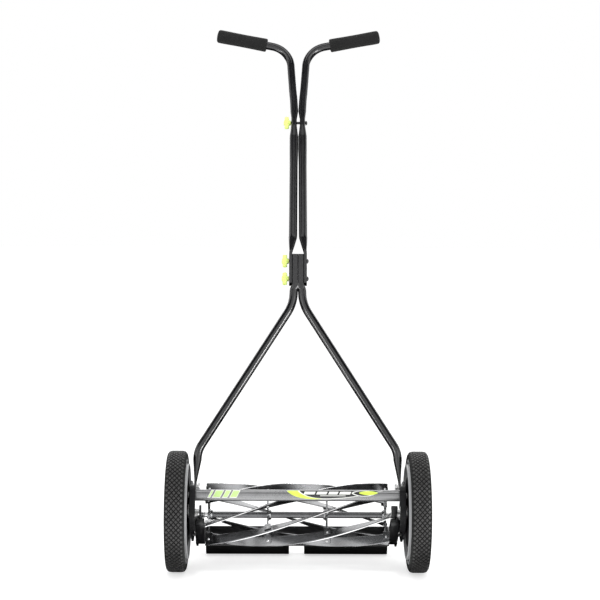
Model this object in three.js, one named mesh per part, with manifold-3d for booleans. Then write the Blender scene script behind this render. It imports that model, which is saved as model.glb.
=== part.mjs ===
// Push reel mower: a seven-blade reel between two geared wheels, with a T-shaped handle.
// Millimetres, +Z up, -Y is the front, +X is the right-hand side seen from the front.
// Everything is drawn from the wheel axle line; the last lines set the mower on the ground.
import * as THREE from 'three';
import { mergeVertices } from 'three/addons/utils/BufferGeometryUtils.js';
import Module from 'manifold-3d';

const wasm = await Module();
wasm.setup();

// ---- driving dimensions -------------------------------------------------------------------
const degrees = THREE.MathUtils.degToRad;
const GAP = 0.3; // clearance between pieces that touch

const WHEEL_RADIUS = 133.5;
const WHEEL_SEGMENTS = 40;
const AXLE_HEIGHT = WHEEL_RADIUS * Math.cos(Math.PI / WHEEL_SEGMENTS); // the tyre rests on a flat
const MIDDLE_Y = 139.6; // the middle of the mower's box lies this far behind the axle

const GEAR_MODULE = 3;
const RING_TEETH = 48;
const PINION_TEETH = 12;
const PRESSURE_ANGLE = degrees(24);
const BACKLASH = 0.9;
const ADDENDUM = 0.8 * GEAR_MODULE;
const DEDENDUM = 1.25 * GEAR_MODULE;
const GEAR_OFFSET = (GEAR_MODULE * (RING_TEETH - PINION_TEETH)) / 2;

const REEL_DROP = 16.9; // the reel shaft lies below the axle and behind it
const REEL = { y: Math.sqrt(GEAR_OFFSET ** 2 - REEL_DROP ** 2), z: -REEL_DROP };
const REEL_RADIUS = 71;
const SHAFT = { radius: 7.15, shoulder: 199.5, journal: 5.6, end: 260 };

const PLATE = { inner: 232.5, outer: 237, lip: 223.5, lipThickness: 3, lipBack: -8 };
const TIE_BAR = { y: -14.4, z: 38.4, radius: 12.5, bore: 10.5, plug: 12 };
const ROLLER = { y: 187, radius: 28, segments: 18, inner: 17.5, outer: 209.5, wall: 3.5 };
const ROLLER_Z = ROLLER.radius * Math.cos(Math.PI / ROLLER.segments) - AXLE_HEIGHT;

const SIDE_BOLT = { radius: 4, head: 7, headThickness: 3.7 };
const ROLLER_AXLE = { radius: 5, end: 234 };

const PIVOT = { y: 22, z: 50 }; // where the handle hangs on the side plates
const HANDLE_LEAN = degrees(20);

// ---- materials ----------------------------------------------------------------------------
const finish = (color, roughness, metalness) => ({ color, roughness, metalness });
const BLACK_PAINT = finish(0x17181a, 0.4, 0.3);
const GREY_PAINT = finish(0x6f7174, 0.4, 0.6);
const BRIGHT_STEEL = finish(0xb9bcc0, 0.3, 1);
const BLADE_STEEL = finish(0x55585d, 0.35, 0.9);
const RUBBER = finish(0x1c1c1c, 0.9, 0);
const GREY_PLASTIC = finish(0x7d7f80, 0.5, 0);
const BLACK_PLASTIC = finish(0x141414, 0.6, 0);
const FOAM = finish(0x161616, 0.95, 0);
const LIME_PLASTIC = finish(0xb4c422, 0.45, 0);

// ---- solids -------------------------------------------------------------------------------
function welded(geometry) {
  geometry.deleteAttribute('normal');
  geometry.deleteAttribute('uv');
  return mergeVertices(geometry, 1e-4);
}

function toSolid(geometry) {
  const closed = welded(geometry);
  return new wasm.Manifold(new wasm.Mesh({
    numProp: 3,
    vertProperties: new Float32Array(closed.attributes.position.array),
    triVerts: new Uint32Array(closed.index.array),
  }));
}

function toGeometry(solid) {
  const mesh = solid.getMesh();
  const geometry = new THREE.BufferGeometry();
  geometry.setAttribute('position', new THREE.BufferAttribute(mesh.vertProperties, mesh.numProp));
  geometry.setIndex(new THREE.BufferAttribute(mesh.triVerts, 1));
  return geometry;
}

function joined(...geometries) {
  return toGeometry(geometries.map(toSolid).reduce((sum, next) => sum.add(next)));
}

function cut(geometry, ...tools) {
  return toGeometry(tools.map(toSolid).reduce((left, tool) => left.subtract(tool), toSolid(geometry)));
}

// Turns a lathe's surface the right way out, whichever way round its outline was listed.
function facingOut(geometry) {
  const closed = welded(geometry);
  const { position } = closed.attributes;
  const corners = closed.index.array;
  const [a, b, c] = [new THREE.Vector3(), new THREE.Vector3(), new THREE.Vector3()];
  let volume = 0;
  for (let i = 0; i < corners.length; i += 3) {
    a.fromBufferAttribute(position, corners[i]);
    b.fromBufferAttribute(position, corners[i + 1]);
    c.fromBufferAttribute(position, corners[i + 2]);
    volume += a.dot(b.cross(c));
  }
  if (volume < 0) corners.reverse();
  return closed;
}

// A ring or disc turned about a line along X; the outline is a list of [x, radius].
function turned(outline, segments, y = 0, z = 0) {
  const points = outline.map(([x, radius]) => new THREE.Vector2(radius, x));
  const geometry = new THREE.LatheGeometry(points, segments, Math.PI / segments);
  return facingOut(geometry.rotateZ(-Math.PI / 2).translate(0, y, z));
}

function rod(x0, x1, radius, y = 0, z = 0, segments = 12) {
  return turned([[x0, 0], [x0, radius], [x1, radius], [x1, 0]], segments, y, z);
}

// A bolt along X with its shank from x0 to x1 and a hexagon head from x1 to x2.
function bolt(x0, x1, x2, radius, headRadius, y = 0, z = 0) {
  return joined(rod(x0, x1 + 0.1, radius, y, z, 10), rod(x1, x2, headRadius, y, z, 6));
}

// A shape drawn in the (Y, Z) plane, extruded along X from x0 to x1.
function plate(shape, x0, x1, steps = 1) {
  const toYZ = new THREE.Matrix4().makeBasis(
    new THREE.Vector3(0, 1, 0), new THREE.Vector3(0, 0, 1), new THREE.Vector3(1, 0, 0));
  const settings = { depth: x1 - x0, steps, bevelEnabled: false, curveSegments: 6 };
  return new THREE.ExtrudeGeometry(shape, settings).applyMatrix4(toYZ).translate(x0, 0, 0);
}

function shapeFrom(points) {
  return new THREE.Shape(points.map(([y, z]) => new THREE.Vector2(y, z)));
}

function regularPolygon(radius, sides) {
  return shapeFrom(Array.from({ length: sides }, (_, i) => {
    const angle = (2 * Math.PI * (i + 0.5)) / sides;
    return [radius * Math.cos(angle), radius * Math.sin(angle)];
  }));
}

function roundHole(radius, y = 0, z = 0) {
  return new THREE.Path().absarc(y, z, radius, 0, 2 * Math.PI);
}

// The outline of a belt stretched round a set of discs [y, z, radius].
function beltOutline(discs, growth = 0) {
  const samples = 16;
  const points = discs.flatMap(([y, z, radius]) => Array.from({ length: samples }, (_, i) => {
    const angle = (2 * Math.PI * (i + 0.5)) / samples;
    return [y + (radius + growth) * Math.cos(angle), z + (radius + growth) * Math.sin(angle)];
  }));
  points.sort((a, b) => a[0] - b[0] || a[1] - b[1]);
  const turn = (o, a, b) => (a[0] - o[0]) * (b[1] - o[1]) - (a[1] - o[1]) * (b[0] - o[0]);
  const halfHull = (ordered) => {
    const hull = [];
    for (const point of ordered) {
      while (hull.length > 1 && turn(hull.at(-2), hull.at(-1), point) <= 0) hull.pop();
      hull.push(point);
    }
    return hull.slice(0, -1);
  };
  return shapeFrom([...halfHull(points), ...halfHull(points.toReversed())]);
}

// ---- assembly helpers ---------------------------------------------------------------------
const mower = new THREE.Group();
const handle = new THREE.Group();
mower.add(handle);

function add(name, geometry, look, parent = mower) {
  const mesh = new THREE.Mesh(welded(geometry), new THREE.MeshStandardMaterial(look));
  mesh.name = name;
  parent.add(mesh);
  return mesh;
}

// A right-hand piece and its mirror image on the left.
function addPair(name, geometry, look, parent = mower) {
  add(`${name}_right`, geometry, look, parent);
  add(`${name}_left`, geometry.clone(), look, parent).scale.x = -1;
}

// ---- gears --------------------------------------------------------------------------------
const GEAR_DIRECTION = Math.atan2(REEL.z, REEL.y); // from the axle towards the pinion
const HALF_PITCH = (Math.PI * GEAR_MODULE) / 2;
const RING_PITCH_RADIUS = (GEAR_MODULE * RING_TEETH) / 2;
const PINION_PITCH_RADIUS = (GEAR_MODULE * PINION_TEETH) / 2;
const RING_FACE = { x0: 244.5, x1: 263, outer: 84, sides: 32 };
const PINION_FACE = { x0: 245.5, x1: 258.5 };

const involute = (angle) => Math.tan(angle) - angle;

// Half the angle that a tooth, or the space in a ring gear, takes up at a radius.
function halfToothAngle(teeth, radius, thickness) {
  const pitchRadius = (GEAR_MODULE * teeth) / 2;
  const baseRadius = pitchRadius * Math.cos(PRESSURE_ANGLE);
  const pressure = Math.acos(baseRadius / Math.max(radius, baseRadius));
  return thickness / (2 * pitchRadius) + involute(PRESSURE_ANGLE) - involute(pressure);
}

// Teeth pointing away from the axis, one of them centred on the line between the two axes.
function toothedOutline(teeth, radii, thickness) {
  const points = [];
  for (let tooth = 0; tooth < teeth; tooth += 1) {
    const middle = GEAR_DIRECTION + (2 * Math.PI * tooth) / teeth;
    const flank = radii.map((radius) => [radius, halfToothAngle(teeth, radius, thickness)]);
    const rising = flank.map(([radius, half]) => [radius, middle - half]);
    const falling = flank.map(([radius, half]) => [radius, middle + half]).reverse();
    for (const [radius, angle] of [...rising, ...falling]) {
      points.push([radius * Math.cos(angle), radius * Math.sin(angle)]);
    }
  }
  return points;
}

function ringGear() {
  const radii = [RING_PITCH_RADIUS - ADDENDUM, RING_PITCH_RADIUS + DEDENDUM];
  const shape = regularPolygon(RING_FACE.outer, RING_FACE.sides);
  shape.holes.push(shapeFrom(toothedOutline(RING_TEETH, radii, HALF_PITCH)));
  return plate(shape, RING_FACE.x0, RING_FACE.x1);
}

function pinion() {
  const radii = [PINION_PITCH_RADIUS - DEDENDUM, PINION_PITCH_RADIUS, PINION_PITCH_RADIUS + ADDENDUM];
  const shape = shapeFrom(toothedOutline(PINION_TEETH, radii, HALF_PITCH - BACKLASH));
  shape.holes.push(roundHole(SHAFT.journal + GAP));
  return plate(shape, PINION_FACE.x0, PINION_FACE.x1).translate(0, REEL.y, REEL.z);
}

// ---- wheels -------------------------------------------------------------------------------
const AXLE_RADIUS = 6.35;
const TYRE = { x0: 243, x1: 287, seat: 116 };
const HUB = { bore: AXLE_RADIUS + GAP, radius: 20, x0: 244, x1: 281 };
const WEB = { x0: 262, x1: 267 };
const DRUM = { x0: 239, inner: 98, outer: 104.5 };
const RIM = { x0: 244, x1: 286.2, inner: 109.5, outer: TYRE.seat - 2 * GAP, segments: 32 };
const RIBS = { count: 6, x1: 276, thickness: 9 };
const CAP = { x0: RIBS.x1 + 0.4, x1: TYRE.x1, wall: 1.2, skirt: 4.2, crown: 14 };

function tyre() {
  const shoulder = [[0, TYRE.seat], [1, 126], [5, 131.8], [12, WHEEL_RADIUS]];
  return turned([
    ...shoulder.map(([inset, radius]) => [TYRE.x0 + inset, radius]),
    ...shoulder.map(([inset, radius]) => [TYRE.x1 - inset, radius]).reverse(),
    [TYRE.x0, TYRE.seat],
  ], WHEEL_SEGMENTS);
}

function rib(index) {
  const inner = HUB.radius - 1;
  const outer = RIM.inner + 1;
  const x0 = WEB.x1 - 1;
  const box = new THREE.BoxGeometry(RIBS.x1 - x0, outer - inner, RIBS.thickness);
  box.translate((x0 + RIBS.x1) / 2, (inner + outer) / 2, 0);
  return box.rotateX((2 * Math.PI * (index + 0.5)) / RIBS.count);
}

// Hub, web, the drum that shrouds the gear, and the rim that carries the tyre.
function wheel() {
  const body = turned([
    [HUB.x0, HUB.bore], [HUB.x0, HUB.radius], [WEB.x0, HUB.radius], [WEB.x0, DRUM.inner],
    [DRUM.x0, DRUM.inner], [DRUM.x0, DRUM.outer], [WEB.x0, DRUM.outer], [WEB.x0, RIM.inner],
    [RIM.x0, RIM.inner], [RIM.x0, RIM.outer], [RIM.x1, RIM.outer], [RIM.x1, RIM.inner],
    [WEB.x1, RIM.inner], [WEB.x1, HUB.radius], [HUB.x1, HUB.radius], [HUB.x1, HUB.bore],
    [HUB.x0, HUB.bore],
  ], RIM.segments);
  return joined(body, ringGear(), ...Array.from({ length: RIBS.count }, (_, i) => rib(i)));
}

// A shoulder bolt: the wheel turns on its shank, and its head keeps the wheel on.
const WHEEL_BOLT = { flange: 15, head: 11, headThickness: 4.2, threadStart: PLATE.inner - 4 };

function wheelBolt() {
  const flangeEnd = HUB.x0 - 0.5;
  const headStart = HUB.x1 + GAP;
  const headEnd = headStart + WHEEL_BOLT.headThickness;
  return turned([
    [WHEEL_BOLT.threadStart, 0], [WHEEL_BOLT.threadStart, AXLE_RADIUS],
    [PLATE.outer + GAP, AXLE_RADIUS], [PLATE.outer + GAP, WHEEL_BOLT.flange],
    [flangeEnd, WHEEL_BOLT.flange], [flangeEnd, AXLE_RADIUS], [headStart, AXLE_RADIUS],
    [headStart, WHEEL_BOLT.head], [headEnd, WHEEL_BOLT.head], [headEnd, 0],
  ], 12);
}

function hubCap() {
  const bore = HUB.radius + GAP;
  return turned([
    [CAP.x1 - CAP.wall, 0], [CAP.x1 - CAP.wall, CAP.crown - 1.5], [HUB.x1 + 1, bore], [CAP.x0, bore],
    [CAP.x0, bore + CAP.skirt], [HUB.x1 + 2, bore + 2.4], [CAP.x1, CAP.crown], [CAP.x1, 0],
  ], 16);
}

addPair('tyre', tyre(), RUBBER);
addPair('wheel', wheel(), GREY_PLASTIC);
addPair('wheel_bolt', wheelBolt(), BRIGHT_STEEL);
addPair('hub_cap', hubCap(), BLACK_PLASTIC);
addPair('pinion', pinion(), BRIGHT_STEEL);

// ---- reel ---------------------------------------------------------------------------------
const BLADE = { count: 7, inner: 49, thickness: 3, halfLength: 203, steps: 12 };
const HELIX_LEAD = 1222; // length along the shaft of one full turn of a blade
const HELIX_START = 14; // where the first blade crosses the front of the reel
const SPIDER = { x: [-197, -66, 66, 197], halfThickness: 1.5, hub: 15.5, tip: 46.4, collar: 8 };
const TAB = { halfLength: 7, back: 5, reach: 14, gap: 0.4, thickness: 2.5 };

// A strip in the section of a blade pointing straight ahead: `start` to `end` out from the inner
// edge, and `near` to `far` behind the leading face.
function stripSection(start, end, near, far) {
  const corner = (along, back) => new THREE.Vector2(-BLADE.inner - along, back);
  return new THREE.Shape([corner(start, near), corner(start, far), corner(end, far), corner(end, near)]);
}

const bladeAngle = (x, blade) => (2 * Math.PI * (x - HELIX_START)) / HELIX_LEAD
  - (2 * Math.PI * blade) / BLADE.count;

// Extrudes a section along the shaft and winds it round as the blades are wound.
function wound(section, x0, x1, steps, blade) {
  const geometry = plate(section, x0, x1, steps);
  const { position } = geometry.attributes;
  const point = new THREE.Vector3();
  for (let i = 0; i < position.count; i += 1) {
    point.fromBufferAttribute(position, i);
    point.applyAxisAngle(new THREE.Vector3(1, 0, 0), -bladeAngle(point.x, blade));
    position.setXYZ(i, point.x, point.y, point.z);
  }
  return geometry.translate(0, REEL.y, REEL.z);
}

function blade(index) {
  const section = stripSection(0, REEL_RADIUS - BLADE.inner, 0, BLADE.thickness);
  return wound(section, -BLADE.halfLength, BLADE.halfLength, BLADE.steps, index);
}

// The dished middle of a spider, standing out towards the middle of the reel.
function spiderCollar(x) {
  const bore = SHAFT.radius + GAP;
  const inwards = -Math.sign(x);
  return turned([
    [x, bore], [x, SPIDER.hub - 2], [x + inwards * SPIDER.collar, bore + 2.5],
    [x + inwards * SPIDER.collar, bore], [x, bore],
  ], 16, REEL.y, REEL.z);
}

// A tube between the end spiders, with a thinner journal at each end.
function reelShaft() {
  const { radius, shoulder, journal, end } = SHAFT;
  return turned([
    [-end, 0], [-end, journal], [-shoulder, journal], [-shoulder, radius],
    [shoulder, radius], [shoulder, journal], [end, journal], [end, 0],
  ], 12, REEL.y, REEL.z);
}

// A stamped star, dished round the shaft: seven arms, each with a tab bent along the back of its blade.
function spider(x) {
  const points = [];
  const tabs = [];
  const near = BLADE.thickness + TAB.gap;
  const tabSection = stripSection(-TAB.back, TAB.reach, near, near + TAB.thickness);
  for (let arm = 0; arm < BLADE.count; arm += 1) {
    const middle = bladeAngle(x, arm) + degrees(2);
    const [root, tip] = [degrees(16), degrees(5.5)];
    const corners = [
      [SPIDER.hub, middle + root], [SPIDER.tip, middle + tip], [SPIDER.tip, middle - tip],
      [SPIDER.hub, middle - root],
    ];
    points.push(...corners.map(([radius, angle]) => [-radius * Math.cos(angle), radius * Math.sin(angle)]));
    tabs.push(wound(tabSection, x - TAB.halfLength, x + TAB.halfLength, 1, arm));
  }
  const star = shapeFrom(points);
  star.holes.push(roundHole(SHAFT.radius + GAP));
  const disc = plate(star, x - SPIDER.halfThickness, x + SPIDER.halfThickness);
  return joined(disc.translate(0, REEL.y, REEL.z), spiderCollar(x), ...tabs);
}

add('reel_shaft', reelShaft(), BRIGHT_STEEL);
SPIDER.x.forEach((x, i) => add(`spider_${i + 1}`, spider(x), BLADE_STEEL));
for (let i = 0; i < BLADE.count; i += 1) add(`blade_${i + 1}`, blade(i), BLADE_STEEL);

// ---- cutter bar and bed knife -------------------------------------------------------------
const KNIFE = { angle: degrees(15), clearance: 0.4, relief: degrees(8), width: 34, thickness: 3 };
const CUTTER = { inner: 76, outer: 79.5, top: degrees(60), halfLength: 207, flange: 3.5 };
const EAR = { x0: 207, x1: 225.5, discs: [[24, -29, 9.5], [60, -63.5, 14], [100, -78, 13]] };

// A point of the knife's section: so far back from its edge, and so far below its upper face.
function knifePoint(back, below) {
  const edgeRadius = REEL_RADIUS + KNIFE.clearance;
  const slope = KNIFE.angle - KNIFE.relief;
  return [
    REEL.y + edgeRadius * Math.sin(KNIFE.angle) + back * Math.cos(slope) + below * Math.sin(slope),
    REEL.z - edgeRadius * Math.cos(KNIFE.angle) + back * Math.sin(slope) - below * Math.cos(slope),
  ];
}

function bedKnife() {
  const bevel = 4;
  const corners = [[0, 0], [KNIFE.width, 0], [KNIFE.width, KNIFE.thickness], [bevel, KNIFE.thickness]];
  const section = shapeFrom(corners.map(([back, below]) => knifePoint(back, below)));
  return plate(section, -(EAR.x0 - 0.5), EAR.x0 - 0.5);
}

// An angle section: a flange under the knife and a curved apron up behind the reel.
function cutterBarSection() {
  const below = KNIFE.thickness + GAP;
  const apron = (radius, from, to) => Array.from({ length: 5 }, (_, i) => {
    const angle = from + ((to - from) * i) / 4;
    return [REEL.y + radius * Math.sin(angle), REEL.z - radius * Math.cos(angle)];
  });
  return shapeFrom([
    knifePoint(5, below), knifePoint(5, below + CUTTER.flange),
    knifePoint(KNIFE.width + 8, below + CUTTER.flange),
    ...apron(CUTTER.outer, degrees(46), CUTTER.top),
    ...apron(CUTTER.inner, CUTTER.top, degrees(42)),
    knifePoint(KNIFE.width + 0.5, 0), knifePoint(KNIFE.width + 0.5, below),
  ]);
}

const SCREW = { x: 215.5, y: 24, radius: 3, bottom: -34, drill: 20 };
const THUMB = { collar: 5, collarBottom: -19, bottom: -16, top: 9, halfWidth: 7.7, thickness: 4.6 };

function cutterBar() {
  const bar = plate(cutterBarSection(), -CUTTER.halfLength, CUTTER.halfLength);
  const ears = [EAR.x0, -EAR.x1].map((x) => plate(beltOutline(EAR.discs), x, x + EAR.x1 - EAR.x0));
  const screwHoles = [SCREW.x, -SCREW.x].map((x) => {
    const drill = new THREE.CylinderGeometry(SCREW.radius + GAP, SCREW.radius + GAP, SCREW.drill, 10);
    return drill.rotateX(Math.PI / 2).translate(x, SCREW.y, SCREW.bottom - GAP + SCREW.drill / 2);
  });
  const [y, z] = EAR.discs[1];
  const pivotHole = rod(-EAR.x1 - 1, EAR.x1 + 1, SIDE_BOLT.radius + GAP, y, z);
  return cut(joined(bar, ...ears), ...screwHoles, pivotHole);
}

// A screw with a flat thumb piece, standing upright on the Z axis.
function adjustingScrew() {
  const { collar, collarBottom, bottom, top, halfWidth, thickness } = THUMB;
  const upright = (radius, from, to) => new THREE.CylinderGeometry(radius, radius, to - from, 10)
    .rotateX(Math.PI / 2).translate(0, 0, (from + to) / 2);
  const corner = 3;
  const across = halfWidth - corner;
  const paddle = beltOutline([
    [across, top - corner, corner], [-across, top - corner, corner],
    [across - 1, bottom + 1, 1], [1 - across, bottom + 1, 1],
  ]);
  return joined(
    upright(SCREW.radius, SCREW.bottom, bottom), upright(collar, collarBottom, bottom + 0.5),
    plate(paddle, -thickness / 2, thickness / 2));
}

add('cutter_bar', cutterBar(), BLACK_PAINT);
add('bed_knife', bedKnife(), BRIGHT_STEEL);
const acrossMower = adjustingScrew().rotateZ(Math.PI / 2);
add('adjusting_screw_right', acrossMower.translate(SCREW.x, SCREW.y, 0), BRIGHT_STEEL);
add('adjusting_screw_left', adjustingScrew().translate(-SCREW.x, SCREW.y, 0), BRIGHT_STEEL);

// ---- side plates and what is bolted to them -------------------------------------------------
const CUTTER_PIVOT = EAR.discs[1];
const HOUSING = { x0: 217, x1: PLATE.inner - GAP, radius: 14.6, flange: 19.5, flangeThickness: 3 };
const COVER = { x0: 241.5, x1: 243.5, radius: 76, sides: 32 };
const BRACKET = { x0: 227.2, x1: PLATE.inner - GAP, pivot: [78, -33.5], lock: 36, down: 20, up: 28 };
const POST = { radius: 6, head: 10, x0: 216, x1: 220, washer: 230.5 };
const PLATE_DISCS = [
  [TIE_BAR.y, TIE_BAR.z, 22], [PIVOT.y, PIVOT.z, 14], [-22, 0, 30], [0, 0, 45],
  [REEL.y, REEL.z, 34], [...BRACKET.pivot, 48],
];

const bracketDirection = Math.atan2(ROLLER_Z - BRACKET.pivot[1], ROLLER.y - BRACKET.pivot[0]);

function onBracket(distance, swing = 0) {
  const angle = bracketDirection + swing;
  return [BRACKET.pivot[0] + distance * Math.cos(angle), BRACKET.pivot[1] + distance * Math.sin(angle)];
}

// A curved slot round the bracket's pivot, which its lock bolt slides along.
function bracketSlot() {
  const half = SIDE_BOLT.radius + GAP;
  const [y, z] = BRACKET.pivot;
  const low = bracketDirection - degrees(BRACKET.down + 1);
  const high = bracketDirection + degrees(BRACKET.up + 1);
  const end = (angle) => [y + BRACKET.lock * Math.cos(angle), z + BRACKET.lock * Math.sin(angle)];
  return new THREE.Path()
    .absarc(y, z, BRACKET.lock + half, low, high)
    .absarc(...end(high), half, high, high + Math.PI)
    .absarc(y, z, BRACKET.lock - half, high, low, true)
    .absarc(...end(low), half, low + Math.PI, low + 2 * Math.PI);
}

// A flat plate with a lip turned inwards along its front edge.
function sidePlate() {
  const outline = beltOutline(PLATE_DISCS);
  const hole = SIDE_BOLT.radius + GAP;
  outline.holes = [
    roundHole(AXLE_RADIUS + GAP), roundHole(SHAFT.radius + 2, REEL.y, REEL.z),
    roundHole(hole, TIE_BAR.y, TIE_BAR.z), roundHole(hole, ...CUTTER_PIVOT),
    roundHole(hole, ...BRACKET.pivot), roundHole(POST.radius + GAP, PIVOT.y, PIVOT.z), bracketSlot(),
  ];
  const lip = beltOutline(PLATE_DISCS);
  lip.holes = [new THREE.Path(beltOutline(PLATE_DISCS, -PLATE.lipThickness).getPoints())];
  const length = 400;
  const behind = new THREE.BoxGeometry(length, length, length);
  behind.translate(PLATE.inner, PLATE.lipBack + length / 2, 0);
  const frontLip = cut(plate(lip, PLATE.lip, PLATE.inner + 0.5), behind);
  return joined(plate(outline, PLATE.inner, PLATE.outer), frontLip);
}

function tieBar() {
  const end = PLATE.inner - GAP;
  const { radius, bore, plug } = TIE_BAR;
  const threaded = SIDE_BOLT.radius + GAP;
  return turned([
    [-end, threaded], [-end, radius], [end, radius], [end, threaded], [end - plug, threaded],
    [end - plug, bore], [plug - end, bore], [plug - end, threaded], [-end, threaded],
  ], 18, TIE_BAR.y, TIE_BAR.z);
}

// A cup that carries the reel's ball bearing, flanged against the side plate.
function bearingHousing() {
  const { x0, x1, radius, flange, flangeThickness } = HOUSING;
  const bore = SHAFT.journal + GAP;
  const outline = [
    [x0, bore], [x0, radius], [x1 - flangeThickness, radius], [x1 - flangeThickness, flange],
    [x1, flange], [x1, bore], [x0, bore],
  ];
  return turned(outline, 16, REEL.y, REEL.z);
}

// A thin disc that keeps grass out of the gears.
function gearCover() {
  const shape = regularPolygon(COVER.radius, COVER.sides);
  shape.holes = [roundHole(WHEEL_BOLT.flange + 1), roundHole(SHAFT.journal + GAP, REEL.y, REEL.z)];
  return plate(shape, COVER.x0, COVER.x1);
}

// The stud that the handle hangs on: a head inside, a shoulder against the side plate.
function handlePost() {
  return turned([
    [POST.x0, 0], [POST.x0, POST.head], [POST.x1, POST.head], [POST.x1, POST.radius],
    [POST.washer, POST.radius], [POST.washer, POST.head], [PLATE.inner - GAP, POST.head],
    [PLATE.inner - GAP, POST.radius], [PLATE.outer, POST.radius], [PLATE.outer, 0],
  ], 12, PIVOT.y, PIVOT.z);
}

function rollerBracket() {
  const arm = beltOutline([[...BRACKET.pivot, 11], [ROLLER.y, ROLLER_Z, 10]]);
  const hole = SIDE_BOLT.radius + GAP;
  arm.holes = [
    roundHole(hole, ...BRACKET.pivot), roundHole(hole, ...onBracket(BRACKET.lock)),
    roundHole(ROLLER_AXLE.radius + GAP, ROLLER.y, ROLLER_Z),
  ];
  return plate(arm, BRACKET.x0, BRACKET.x1);
}

// A bolt through a side plate, its head on the outside.
function sideBolt(x0, y, z) {
  const headStart = PLATE.outer + GAP;
  return bolt(x0, headStart, headStart + SIDE_BOLT.headThickness, SIDE_BOLT.radius, SIDE_BOLT.head, y, z);
}

function roller() {
  const { inner, outer, radius, wall, segments } = ROLLER;
  const bore = ROLLER_AXLE.radius + GAP;
  const shell = radius - wall;
  return turned([
    [inner, bore], [inner, radius], [outer, radius], [outer, bore], [outer - wall, bore],
    [outer - wall, shell], [inner + wall, shell], [inner + wall, bore], [inner, bore],
  ], segments, ROLLER.y, ROLLER_Z);
}

addPair('side_plate', sidePlate(), BLACK_PAINT);
addPair('bearing_housing', bearingHousing(), BRIGHT_STEEL);
addPair('gear_cover', gearCover(), BLACK_PAINT);
addPair('handle_post', handlePost(), BRIGHT_STEEL);
add('tie_bar', tieBar(), GREY_PAINT);
addPair('tie_bolt', sideBolt(PLATE.inner - TIE_BAR.plug + 1, TIE_BAR.y, TIE_BAR.z), BRIGHT_STEEL);
addPair('cutter_bolt', sideBolt(EAR.x0 + 6, ...CUTTER_PIVOT), BRIGHT_STEEL);
addPair('roller_bracket', rollerBracket(), BLACK_PAINT);
addPair('bracket_bolt', sideBolt(BRACKET.x0 - 1, ...BRACKET.pivot), BRIGHT_STEEL);
addPair('height_bolt', sideBolt(BRACKET.x0 - 1, ...onBracket(BRACKET.lock)), BRIGHT_STEEL);
const { end: axleEnd, radius: axleRadius } = ROLLER_AXLE;
add('roller_axle', rod(-axleEnd, axleEnd, axleRadius, ROLLER.y, ROLLER_Z), BRIGHT_STEEL);
addPair('rear_roller', roller(), BLACK_PLASTIC);

// ---- handle -------------------------------------------------------------------------------
// Drawn upright with its pivot at the origin, X across and Z up the handle.
const TUBE = { radius: 9.5, bore: 0.86, sides: 12, boreSides: 8 };
const HANDLE_BOLT = { radius: 3.1, head: 5.5, headThickness: 4 };
const GRIP = { radius: 15.8, bore: TUBE.radius + GAP, inner: [76, 1073.3], outer: [194.5, 1097.4] };
const CLAMPS = [
  { name: 'low', up: 485.4, reach: 20.75 },
  { name: 'middle', up: 528, reach: 20.75 },
  { name: 'top', up: 872.4, reach: 17.6 },
];
const ROUND = [TUBE.radius, TUBE.radius];
const FLAT_END = [2.5, 13];
const SQUEEZED = [6.5, 10.6];
const STRAP = [3.4, 12.6];
const PINCHED = [7.7, 10.6];

// Corners of a tube's centre line: across, up, bend radius, and [half width, half depth].
const LOWER_TUBE = [
  [226.5, -13, 0, FLAT_END], [226.5, 10, 0, FLAT_END], [223, 64, 0, ROUND],
  [222.6, 82, 64, ROUND], [9.8, 426.4, 95, ROUND], [9.8, 456, 0, ROUND],
  [6.85, 471, 0, SQUEEZED], [6.85, 542.5, 0, SQUEEZED],
];
const UPPER_TUBE = [
  [17.05, 472, 0, STRAP], [17.05, 547, 0, STRAP], [11.5, 590, 0, ROUND], [10.3, 828, 0, ROUND],
  [9.6, 862, 0, PINCHED], [9.6, 884, 0, PINCHED], [11.5, 931, 0, ROUND], [13.3, 956, 0, ROUND],
  [20.7, 1062.1, 56, ROUND], [187, 1095.9, 0, ROUND],
];

// Stations along a bent tube: a place, a direction and a section, with bends as arcs.
function stationsAlong(corners) {
  const steps = 4;
  const places = corners.map(([x, up]) => new THREE.Vector2(x, up));
  return corners.flatMap(([, , bend, section], i) => {
    const before = places[i].clone().sub(places[Math.max(i - 1, 0)]).normalize();
    const after = places[Math.min(i + 1, places.length - 1)].clone().sub(places[i]).normalize();
    if (bend === 0) return [{ place: places[i], direction: before.add(after).normalize(), section }];
    const turn = before.cross(after) > 0 ? 1 : -1;
    const angle = Math.acos(before.dot(after));
    const tangent = bend * Math.tan(angle / 2);
    const start = places[i].clone().addScaledVector(before, -tangent);
    const centre = start.clone().add(new THREE.Vector2(-before.y, before.x).multiplyScalar(turn * bend));
    return Array.from({ length: steps + 1 }, (_, k) => {
      const swing = (turn * angle * k) / steps;
      const place = start.clone().rotateAround(centre, swing);
      return { place, direction: before.clone().rotateAround(new THREE.Vector2(), swing), section };
    });
  });
}

// A round tube, bent along its corners and pressed flat where its sections say so.
function bentTube(corners) {
  const stations = stationsAlong(corners);
  const ring = regularPolygon(1, TUBE.sides);
  ring.holes.push(regularPolygon(TUBE.bore, TUBE.boreSides));
  const steps = stations.length - 1;
  const settings = { depth: steps, steps, bevelEnabled: false };
  const geometry = new THREE.ExtrudeGeometry(ring, settings);
  const { position } = geometry.attributes;
  for (let i = 0; i < position.count; i += 1) {
    const { place, direction, section } = stations[Math.round(position.getZ(i))];
    const across = position.getX(i) * section[0];
    const depth = position.getY(i) * section[1];
    position.setXYZ(i, place.x + across * direction.y, depth, place.y - across * direction.x);
  }
  return geometry;
}

function crossHole(up, radius) {
  return rod(-300, 300, radius + 2 * GAP, 0, up, 8);
}

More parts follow.
